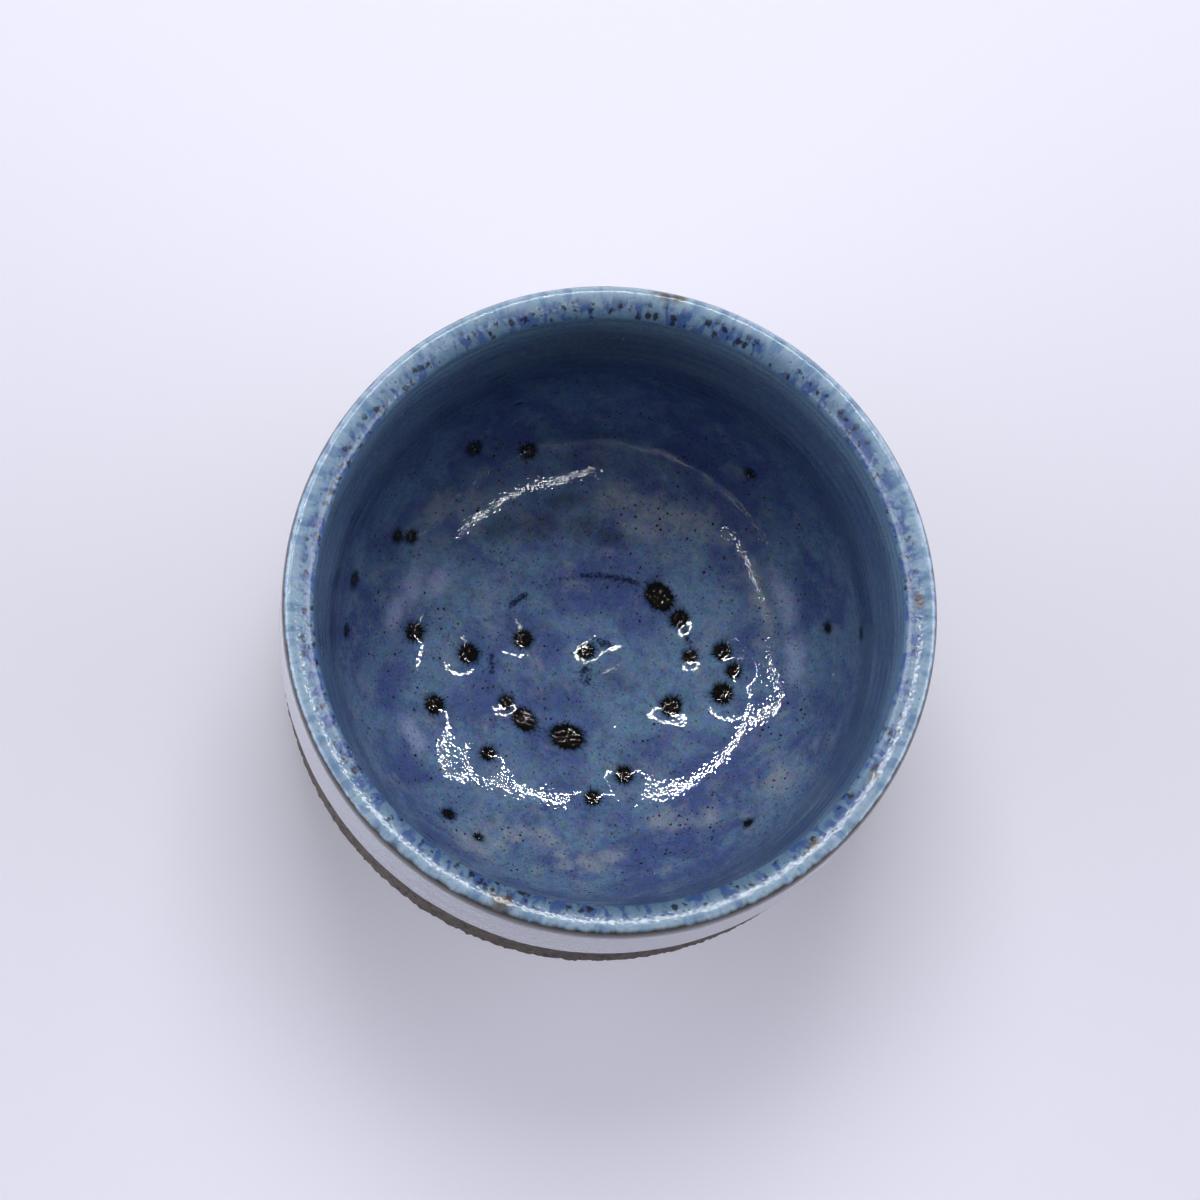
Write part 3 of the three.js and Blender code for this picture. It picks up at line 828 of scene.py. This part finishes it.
# Colour grain: a colour laid over with a share of fine noise in all three of its parts
def makeGrainGroup():
    group, given, wanted = startGroup(
        "colour grain",
        {
            "Vector": ("Vector", None), "Size": ("Float", 0.4),
            "Share": ("Float", 0.3), "Color": ("Color", None),
        },
        {"Color": "Color"},
    )
    density = mathOf(group, "DIVIDE", 1.0, given["Size"])
    inputs = {"Vector": given["Vector"], "Scale": density, "Detail": 1.0}
    noise = addNode(group, "ShaderNodeTexNoise", inputs).outputs["Color"]
    settings = {"data_type": "RGBA", "blend_type": "OVERLAY"}
    colours = {0: given["Share"], 6: given["Color"], 7: noise}
    group.links.new(addNode(group, "ShaderNodeMix", colours, **settings).outputs[2], wanted["Color"])
    return group


# Skin of a fired glaze: fine orange peel over a slower ripple, as a height from 0 to 1
def makePeelGroup():
    group, given, wanted = startGroup(
        "orange peel",
        {"Vector": ("Vector", None), "Size": ("Float", 0.5), "Rough": ("Float", 1.0)},
        {"Height": "Float"},
    )
    density = mathOf(group, "DIVIDE", 1.0, given["Size"])
    fineInputs = {"Vector": given["Vector"], "Scale": density, "Detail": 0.0}
    fine = addNode(group, "ShaderNodeTexNoise", fineInputs).outputs[0]
    slowInputs = {"Vector": given["Vector"], "Scale": mathOf(group, "MULTIPLY", density, 0.2), "Detail": 0.0}
    slow = addNode(group, "ShaderNodeTexNoise", slowInputs).outputs[0]
    skin = mathOf(group, "MULTIPLY", fine, given["Rough"])
    group.links.new(mathOf(group, "MULTIPLY_ADD", slow, 0.6, skin), wanted["Height"])
    return group


specks = makeSpeckGroup()
colourGrain = makeGrainGroup()
mottling = makeMottleGroup()
orangePeel = makePeelGroup()


# Material with an empty Principled shader
def startMaterial(name, roughness):
    material = bpy.data.materials.new(name)
    material.use_nodes = True
    shader = material.node_tree.nodes["Principled BSDF"]
    shader.inputs["Roughness"].default_value = roughness
    return material, material.node_tree, shader


def bumpInto(tree, shader, height, distance):
    bump = addNode(tree, "ShaderNodeBump", {"Height": height, "Distance": distance, "Strength": 1.0})
    tree.links.new(bump.outputs[0], shader.inputs["Normal"])


def specksOf(tree, where, settings):
    return useGroup(tree, specks, {"Vector": where, **settings})[0]


def mottleOf(tree, where, settings, first, second):
    return useGroup(tree, mottling, {"Vector": where, "First": first, "Second": second, **settings})[0]


def grainOf(tree, where, settings, colour):
    return useGroup(tree, colourGrain, {"Vector": where, "Color": colour, **settings})[0]


# Marks that are laid over the lining's colour: colour, strength, share of the noise that makes the rim
# ragged, and the limits between which a mark plus its noise comes in
liningLayers = {
    # dark drifts: partly the glaze's own darker patches, partly painted shade on the far floor
    "driftAndShade": (tone(52, 62, 84), 0.6, 0.8, 0.6, 1.5),
    # painted reflection of a soft light on the bowl's sides
    "paintedSheen": (tone(176, 188, 228), 0.75, 0.7, 0.5, 1.5),
    "stroke": (tone(20, 34, 38), 0.9, 0.8, 0.7, 1.3),
    "cloud": (tone(158, 171, 188), 0.85, 1.6, 0.9, 2.0),
    "rust": (tone(82, 60, 28), 0.85, 1.4, 0.9, 1.8),
    "edge": (tone(36, 27, 17), 1.0, 0.7, 0.5, 0.9),
    "ink": (tone(12, 28, 62), 0.92, 1.9, 1.0, 1.9),
}


def layOver(tree, colour, name, mark, noise):
    over, strength, noiseShare, low, high = liningLayers[name]
    ragged = mathOf(tree, "MULTIPLY_ADD", noise, noiseShare, mark)
    share = mathOf(tree, "MULTIPLY", easeOf(tree, ragged, low, high), strength)
    return mixOf(tree, share, colour, over)


# Finish of the blue lining: colours, sizes in millimetres, and limits between which a noise comes in
liningFinish = {
    "violet": tone(88, 107, 163),
    "teal": tone(118, 150, 186),
    "driftSize": 7.0,
    "driftLimits": (0.36, 0.66),
    "violetPull": 0.22,  # of the violet marks on the drifts
    "tealPull": -0.18,
    "haze": tone(138, 154, 182),
    "hazeSize": 4.0,
    "hazeLimits": (0.5, 0.78),
    "shade": tone(76, 100, 140),
    "shadeSize": 1.3,
    "shadeLimits": (0.42, 0.74),
    "shadeShare": 0.5,
    "ragSize": 1.8,
    "wallGrey": tone(74, 98, 124),
    "wallBlue": tone(62, 84, 122),
    # painted shade on the upper wall under the lip
    "wallTopShade": tone(56, 76, 104),
    "wallThin": tone(92, 120, 142),
    "brushStretch": (0.05, 0.05, 0.7),
    "brushLimits": (0.3, 0.7),
    "wallEnd": 1.1,  # of the reach to the throat, where the colour is all the wall's
    "topFade": 6.0,  # below the lip, where the painted shade on the wall is darkest
    "thinLimits": (-9.0, -1.0),  # from the lip, between which the glaze thins
    "thinRun": 2.0,  # how far the brush marks shift that
    "fineGrain": {"Size": 0.3, "Share": 0.5},
    "slowGrain": {"Size": 1.1, "Share": 0.24},
    "speck": tone(40, 28, 36),
    "redSpeck": tone(84, 58, 56),
    "redSize": 0.9,
    "redLimits": (0.45, 0.6),
    "fineSpecks": {"Spacing": 0.45, "Share": 0.5, "Radius": 0.17},
    "fineShare": 0.8,
    "coarseSpecks": {"Spacing": 0.62, "Share": 0.5, "Radius": 0.28},
    "crowdSize": 6.0,  # of the drifts in which coarse specks crowd
    "crowdLimits": (0.38, 0.62),
    "cloudCrowd": 0.16,  # by which clouds draw them
    "edgeStretch": (0.7, 0.7, 0.1),
    "dotSize": 0.4,  # of the dots that the dark line breaks into
    "halo": tone(12, 42, 58),
    "haloLimits": (0.9, -0.05),  # from the outline of a grain
    "haloShare": 0.85,
    "iron": tone(9, 8, 8),
    "ironLimits": (0.22, -0.05),
    "featherStretch": (5.0, 5.0, 0.8),  # round a grain, and away from it
    "featherLength": 1.4,
    "roughness": 0.035,
    "lipRoughness": 0.23,
    "peelSize": 0.45,
    "peelDepth": 0.00004,
    "smoothShare": 0.42,  # of the peel where the skin is smooth
    "lipShare": 1.2,  # of the peel on the lip
}

# Finish of the lip, with its limits in millimetres from where the lip springs
lipFinish = {
    "limits": (-1.0, 1.2),  # where it takes over from the wall
    "slope": tone(92, 120, 142),
    "pale": tone(150, 175, 194),
    "deep": tone(106, 136, 166),
    "paleLimits": (2.0, 4.4),  # between which the slope turns to the pale crest
    "fadeStretch": (0.6, 0.6, 0.2),
    "fadeLimits": (0.42, 0.66),
    "fadeRun": 2.4,  # how far the drifts shift those limits
    "smear": tone(46, 74, 130),
    "smearStretch": (0.7, 0.7, 0.4),
    "smearLimits": (0.45, 0.58),
    "smearShare": 0.85,
    "spot": tone(26, 24, 40),
    "spots": {"Spacing": 1.15, "Share": 1.0, "Radius": 0.72},
    "spotShare": 0.92,
    "spotRow": 1.1,  # middle of the row of spots
    "rowLimits": (1.9, 0.5),  # half widths between which the row comes in
    "wobbleScale": 1.6,
    "grain": {"Size": 0.7, "Share": 0.12},
}


# Lip: grey slope, pale crest with deeper drifts, and dark spots in blue smears; and how much lip there is
def lipColour(tree, flow, reach):
    finish = lipFinish
    fade = noiseOf(tree, stretchOf(tree, flow, finish["fadeStretch"]), 1.0, 3.0)
    crest = mixOf(tree, easeOf(tree, fade, *finish["fadeLimits"]), finish["pale"], finish["deep"])
    fromLip = mathOf(tree, "SUBTRACT", reach, lipReach)
    faded = mathOf(tree, "MULTIPLY_ADD", fade, finish["fadeRun"], fromLip)
    lip = mixOf(tree, easeOf(tree, faded, *finish["paleLimits"]), finish["slope"], crest)
    fromRow = mathOf(tree, "ABSOLUTE", mathOf(tree, "SUBTRACT", fromLip, finish["spotRow"]))
    onRow = easeOf(tree, fromRow, *finish["rowLimits"])
    smears = noiseOf(tree, stretchOf(tree, flow, finish["smearStretch"]), 1.0, 3.0, 0.4)
    smears = mathOf(tree, "MULTIPLY", easeOf(tree, smears, *finish["smearLimits"]), onRow)
    lip = mixOf(tree, mathOf(tree, "MULTIPLY", smears, finish["smearShare"]), lip, finish["smear"])
    wobbleInputs = {"Vector": flow, "Scale": finish["wobbleScale"]}
    wobble = addNode(tree, "ShaderNodeTexNoise", wobbleInputs).outputs["Color"]
    wobbled = addNode(tree, "ShaderNodeVectorMath", {0: flow, 1: wobble}, operation="ADD").outputs[0]
    spots = mathOf(tree, "MULTIPLY", specksOf(tree, wobbled, finish["spots"]), onRow)
    lip = mixOf(tree, mathOf(tree, "MULTIPLY", spots, finish["spotShare"]), lip, finish["spot"])
    return grainOf(tree, flow, finish["grain"], lip), easeOf(tree, faded, *finish["limits"])


# Wall with brush marks, darker towards the lip as painted shade under it, and then grey where the glaze thins
def wallColour(tree, flow, reach):
    finish = liningFinish
    brush = noiseOf(tree, stretchOf(tree, flow, finish["brushStretch"]), 1.0, 3.0)
    brushed = easeOf(tree, brush, *finish["brushLimits"])
    wall = mixOf(tree, brushed, finish["wallBlue"], finish["wallGrey"])
    darkest = lipReach - finish["topFade"]
    wall = mixOf(tree, easeOf(tree, reach, finish["wallEnd"] * throatReach, darkest), wall, finish["wallTopShade"])
    fromLip = mathOf(tree, "SUBTRACT", reach, lipReach)
    thinning = mathOf(tree, "MULTIPLY_ADD", brushed, finish["thinRun"], fromLip)
    return mixOf(tree, easeOf(tree, thinning, *finish["thinLimits"]), wall, finish["wallThin"])


# Fine brown specks all over the bowl, and coarse ones that crowd into drifts and clouds
def withSpecks(tree, colour, place, reach, cloud):
    finish = liningFinish
    drifts = noiseOf(tree, place, finish["crowdSize"], 3.0)
    drifts = mathOf(tree, "MULTIPLY_ADD", cloud, finish["cloudCrowd"], drifts)
    crowd = easeOf(tree, drifts, *finish["crowdLimits"])
    fine = mathOf(tree, "MULTIPLY", specksOf(tree, place, finish["fineSpecks"]), finish["fineShare"])
    coarse = mathOf(tree, "MULTIPLY", specksOf(tree, place, finish["coarseSpecks"]), crowd)
    onBowl = easeOf(tree, reach, finish["wallEnd"] * throatReach, throatReach)
    share = mathOf(tree, "MULTIPLY", mathOf(tree, "MAXIMUM", fine, coarse), onBowl)
    red = easeOf(tree, noiseOf(tree, place, finish["redSize"]), *finish["redLimits"])
    return mixOf(tree, share, colour, mixOf(tree, red, finish["speck"], finish["redSpeck"]))


def liningMaterial():
    finish = liningFinish
    material, tree, shader = startMaterial("blue glaze", finish["roughness"])
    place = placeOf(tree)
    flow = attributeOf(tree, "flow")
    reach = splitOf(tree, flow)[2]
    ink, cloud, rust = splitOf(tree, attributeOf(tree, "marks"))
    violet, teal, rough = splitOf(tree, attributeOf(tree, "tints"))
    driftAndShade, stroke, edge = splitOf(tree, attributeOf(tree, "darks"))
    paintedSheen = splitOf(tree, attributeOf(tree, "paintedSheens"))[0]
    rayVector = attributeOf(tree, "ironRay")
    gap = splitOf(tree, rayVector)[2]
    rag = noiseOf(tree, place, finish["ragSize"], 4.0, 0.5)

    # body colour: teal with violet drifts, pale haze and shade, dark drifts that are partly painted shade on
    # the far floor, and painted pale lilac reflections
    drift = noiseOf(tree, place, finish["driftSize"], 4.0, 0.6)
    drift = mathOf(tree, "MULTIPLY_ADD", violet, finish["violetPull"], drift)
    drift = mathOf(tree, "MULTIPLY_ADD", teal, finish["tealPull"], drift)
    colour = mixOf(tree, easeOf(tree, drift, *finish["driftLimits"]), finish["teal"], finish["violet"])
    haze = noiseOf(tree, place, finish["hazeSize"], 4.0, 0.5)
    colour = mixOf(tree, easeOf(tree, haze, *finish["hazeLimits"]), colour, finish["haze"])
    shade = easeOf(tree, noiseOf(tree, place, finish["shadeSize"], 4.0), *finish["shadeLimits"])
    colour = mixOf(tree, mathOf(tree, "MULTIPLY", shade, finish["shadeShare"]), colour, finish["shade"])
    colour = layOver(tree, colour, "driftAndShade", driftAndShade, rag)
    colour = layOver(tree, colour, "paintedSheen", paintedSheen, rag)

    # wall, dark strokes on it, pale clouds in the bowl, colour grain and specks
    onWall = easeOf(tree, reach, lining["wallStart"] * throatReach, finish["wallEnd"] * throatReach)
    colour = mixOf(tree, onWall, colour, wallColour(tree, flow, reach))
    colour = layOver(tree, colour, "stroke", stroke, rag)
    colour = layOver(tree, colour, "cloud", cloud, rag)
    colour = grainOf(tree, place, finish["fineGrain"], colour)
    colour = grainOf(tree, place, finish["slowGrain"], colour)
    colour = withSpecks(tree, colour, place, reach, cloud)

    # lip, its brown patches, and the brown edge where the glaze breaks outside it
    lip, onLip = lipColour(tree, flow, reach)
    colour = mixOf(tree, onLip, colour, lip)
    colour = layOver(tree, colour, "rust", rust, rag)
    wander = noiseOf(tree, stretchOf(tree, flow, finish["edgeStretch"]), 1.0, 4.0)
    colour = layOver(tree, colour, "edge", edge, wander)

    # dotted dark line on the ridge, and feathered dark rims round the grains
    colour = layOver(tree, colour, "ink", ink, noiseOf(tree, place, finish["dotSize"], 2.0))
    feather = noiseOf(tree, stretchOf(tree, rayVector, finish["featherStretch"]), 1.0, 3.0)
    length = finish["featherLength"]
    ragged = mathOf(tree, "ADD", gap, mathOf(tree, "MULTIPLY_ADD", feather, -length, 0.5 * length))
    halo = mathOf(tree, "MULTIPLY", easeOf(tree, ragged, *finish["haloLimits"]), finish["haloShare"])
    colour = mixOf(tree, halo, colour, finish["halo"])
    colour = mixOf(tree, easeOf(tree, ragged, *finish["ironLimits"]), colour, finish["iron"])
    tree.links.new(colour, shader.inputs["Base Color"])

    # fired skin, roughest in patches and on the lip
    softer = finish["lipRoughness"] - finish["roughness"]
    softness = mathOf(tree, "MULTIPLY_ADD", onLip, softer, finish["roughness"])
    tree.links.new(softness, shader.inputs["Roughness"])
    smooth = finish["smoothShare"]
    roughShare = mathOf(tree, "MULTIPLY_ADD", rough, 1 - smooth, smooth)
    roughShare = mathOf(tree, "MULTIPLY_ADD", onLip, finish["lipShare"] - smooth, roughShare)
    peel = useGroup(tree, orangePeel, {"Vector": place, "Size": finish["peelSize"], "Rough": roughShare})[0]
    bumpInto(tree, shader, peel, finish["peelDepth"])
    return material


# Finish of the iron grains
ironFinish = {
    "black": tone(9, 8, 8),
    "brown": tone(40, 28, 18),
    "mottle": {"Size": 0.9, "Contrast": 0.2},
    "roughness": 0.1,
    "crinkleSize": 0.5,
    "crinkleDepth": 0.00012,
}


def ironMaterial():
    finish = ironFinish
    material, tree, shader = startMaterial("iron", finish["roughness"])
    place = placeOf(tree)
    colour = mottleOf(tree, place, finish["mottle"], finish["black"], finish["brown"])
    tree.links.new(colour, shader.inputs["Base Color"])
    crinkle = useGroup(tree, orangePeel, {"Vector": place, "Size": finish["crinkleSize"]})[0]
    bumpInto(tree, shader, crinkle, finish["crinkleDepth"])
    return material


# Finish of the raw clay
clayFinish = {
    "dark": tone(58, 51, 46),
    "light": tone(82, 73, 66),
    "speck": tone(20, 17, 16),
    "sand": tone(146, 134, 122),
    "mottle": {"Size": 1.6, "Contrast": 0.14},
    "sandSpecks": {"Spacing": 0.7, "Share": 0.3, "Radius": 0.25},
    "sandShare": 0.6,
    "ironSpecks": {"Spacing": 1.1, "Share": 0.6, "Radius": 0.5},
    "ironStretch": (1.0, 1.0, 0.45),  # makes the dark specks taller than wide
    "pitDepth": 0.5,  # of those specks, as a share of the grain
    "roughness": 0.88,
    "grainSize": 0.35,
    "grainDepth": 0.00016,
}


def clayMaterial():
    finish = clayFinish
    material, tree, shader = startMaterial("raw clay", finish["roughness"])
    place = placeOf(tree)
    colour = mottleOf(tree, place, finish["mottle"], finish["dark"], finish["light"])
    sand = specksOf(tree, place, finish["sandSpecks"])
    colour = mixOf(tree, mathOf(tree, "MULTIPLY", sand, finish["sandShare"]), colour, finish["sand"])
    iron = specksOf(tree, stretchOf(tree, place, finish["ironStretch"]), finish["ironSpecks"])
    colour = mixOf(tree, iron, colour, finish["speck"])
    tree.links.new(colour, shader.inputs["Base Color"])
    grain = noiseOf(tree, place, finish["grainSize"], 4.0)
    pitted = mathOf(tree, "SUBTRACT", grain, mathOf(tree, "MULTIPLY", iron, finish["pitDepth"]))
    bumpInto(tree, shader, pitted, finish["grainDepth"])
    return material


# Finish of the pale coat
coatFinish = {
    "pale": tone(158, 162, 172),
    "cool": tone(142, 148, 160),
    "speck": tone(120, 112, 112),
    "mottle": {"Size": 1.2, "Contrast": 0.2},
    "lineStretch": (0.05, 0.05, 0.5),  # draws the mottling out round the cup
    "specks": {"Spacing": 1.6, "Share": 0.14, "Radius": 0.15},
    "speckShare": 0.5,
    "roughness": 0.16,
    "peelSize": 0.9,
    "peelDepth": 0.00002,
}


def coatMaterial():
    finish = coatFinish
    material, tree, shader = startMaterial("pale glaze", finish["roughness"])
    place = placeOf(tree)
    lines = stretchOf(tree, attributeOf(tree, "flow"), finish["lineStretch"])
    colour = mottleOf(tree, lines, finish["mottle"], finish["pale"], finish["cool"])
    fine = mathOf(tree, "MULTIPLY", specksOf(tree, place, finish["specks"]), finish["speckShare"])
    colour = mixOf(tree, fine, colour, finish["speck"])
    tree.links.new(colour, shader.inputs["Base Color"])
    peel = useGroup(tree, orangePeel, {"Vector": place, "Size": finish["peelSize"]})[0]
    bumpInto(tree, shader, peel, finish["peelDepth"])
    return material


makeClay(clayMaterial())
makeLining(liningMaterial())
makePaleCoat(coatMaterial())
makeGrains(ironMaterial())

# Studio: pale floor, soft key, ring of small lamps, and a room that is pale low down
studio = {
    "floorSize": 4000.0,
    "floorColour": tone(226, 226, 237),
    "floorGlow": 0.18,  # lifts the shadows
    "keyTurn": 111.5,  # degrees from +X to the side that the light comes from
    "keyRise": 65.0,  # degrees above the horizon
    "keyDistance": 600.0,
    "keySize": 260.0,
    "keyPower": 1.75,
    "lampCount": 36,
    "lampArcs": [(45, 192, 1.0), (-67, -13, 0.16), (-152, -111, 0.09)],  # from, to, share of power
    "lampFade": 8.0,  # degrees
    "lampRing": 205.0,
    "lampHeight": 282.0,
    "lampLength": 34.0,
    "lampWidth": 2.5,
    "lampPower": 0.1,
    "roomHigh": 0.08,  # brightness overhead
    "roomLow": 0.18,  # low down towards the key and away from it
    "roomSide": 3.0,  # of the panels on either side
    "roomSkirt": 6.5,  # of those panels close to the horizon
    "roomColour": tone(240, 240, 252),
    "panelLimits": (0.66, 0.9),  # cosine of the angle to the middle of a panel
    "skirtLimits": (0.36, 0.28),  # sines of the height above the horizon
    "lowLimits": (0.66, 0.45),
}


def makeFloor():
    half = studio["floorSize"] / 2
    corners = np.array([[-half, -half, 0], [half, -half, 0], [half, half, 0], [-half, half, 0]])
    floor = makePiece("floor", corners, np.array([[0, 1, 2, 3]]), np.zeros((0, 3), int), {})
    material, _, shader = startMaterial("floor", 0.9)
    shader.inputs["Base Color"].default_value = studio["floorColour"]
    shader.inputs["Emission Color"].default_value = studio["floorColour"]
    shader.inputs["Emission Strength"].default_value = studio["floorGlow"]
    floor.data.materials.append(material)


# Flat lamp of the given length and width that looks at the middle of the cup
def makeLamp(name, place, length, width, power):
    light = bpy.data.lights.new(name, "AREA")
    light.shape = "RECTANGLE"
    light.size = length * mm
    light.size_y = width * mm
    light.energy = power
    lamp = bpy.data.objects.new(name, light)
    lamp.location = place * mm
    lamp.rotation_euler = (Vector((0, 0, 0.5 * cupHeight)) - place).to_track_quat("-Z", "Y").to_euler()
    bpy.context.scene.collection.objects.link(lamp)
    return lamp


# The key lights without a gleam of its own, and the lamps on arcs of a ring only give gleams
def makeLamps():
    turn = math.radians(studio["keyTurn"])
    rise = math.radians(studio["keyRise"])
    way = Vector((math.cos(turn) * math.cos(rise), math.sin(turn) * math.cos(rise), math.sin(rise)))
    keySize = studio["keySize"]
    key = makeLamp("key", way * studio["keyDistance"], keySize, keySize, studio["keyPower"])
    key.visible_glossy = False
    for k in range(studio["lampCount"]):
        turn = 2 * math.pi * k / studio["lampCount"]
        share = max(
            part * float(arcShare(math.degrees(turn), start, stop, studio["lampFade"]))
            for start, stop, part in studio["lampArcs"]
        )
        if share == 0:
            continue
        place = Vector((math.cos(turn), math.sin(turn), 0)) * studio["lampRing"]
        place.z = studio["lampHeight"]
        power = studio["lampPower"] * share
        lamp = makeLamp(f"lamp_{k:02d}", place, studio["lampLength"], studio["lampWidth"], power)
        lamp.visible_diffuse = False


# The room is dark overhead and pale low down, with a brighter panel on either side of the key
def makeRoom():
    world = bpy.data.worlds.new("room")
    world.use_nodes = True
    tree = world.node_tree
    way = addNode(tree, "ShaderNodeTexCoord").outputs["Generated"]
    turn = math.radians(studio["keyTurn"] - 90)
    sideWay = (math.cos(turn), math.sin(turn), 0.0)
    dot = addNode(tree, "ShaderNodeVectorMath", {0: way, 1: sideWay}, operation="DOT_PRODUCT")
    panel = easeOf(tree, mathOf(tree, "ABSOLUTE", dot.outputs["Value"]), *studio["panelLimits"])
    height = splitOf(tree, way)[2]
    skirt = easeOf(tree, height, *studio["skirtLimits"])
    side = mathOf(tree, "MULTIPLY_ADD", skirt, studio["roomSkirt"] - studio["roomSide"], studio["roomSide"])
    lowLevel = addNode(tree, "ShaderNodeMix", {0: panel, 2: studio["roomLow"], 3: side}).outputs[0]
    low = easeOf(tree, height, *studio["lowLimits"])
    level = addNode(tree, "ShaderNodeMix", {0: low, 2: studio["roomHigh"], 3: lowLevel}).outputs[0]
    background = tree.nodes["Background"]
    background.inputs["Color"].default_value = studio["roomColour"]
    tree.links.new(level, background.inputs["Strength"])
    bpy.context.scene.world = world


# Camera as the photograph was taken: place in millimetres, tilt from the vertical and roll in degrees
photoView = {
    "lens": 161.19,
    "sensor": 36.0,
    "place": (-1.626, -98.379, 718.716),
    "tilt": 8.5,
    "roll": 21.5,
}


def makeCamera():
    tilt = math.radians(photoView["tilt"])
    roll = math.radians(photoView["roll"])
    back = Vector((0, -math.sin(tilt), math.cos(tilt)))
    side = Vector((1, 0, 0))
    up = Vector((0, math.cos(tilt), math.sin(tilt)))
    right = side * math.cos(roll) + up * math.sin(roll)
    above = up * math.cos(roll) - side * math.sin(roll)
    lens = bpy.data.cameras.new("photo_camera")
    lens.lens = photoView["lens"]
    lens.sensor_width = photoView["sensor"]
    lens.clip_start = 0.01
    camera = bpy.data.objects.new("photo_camera", lens)
    turned = Matrix((right, above, back)).transposed().to_4x4()
    camera.matrix_world = Matrix.Translation(Vector(photoView["place"]) * mm) @ turned
    bpy.context.scene.collection.objects.link(camera)
    bpy.context.scene.camera = camera


makeFloor()
makeLamps()
makeRoom()
makeCamera()
bpy.context.scene.view_settings.view_transform = "Standard"
print("studio set")
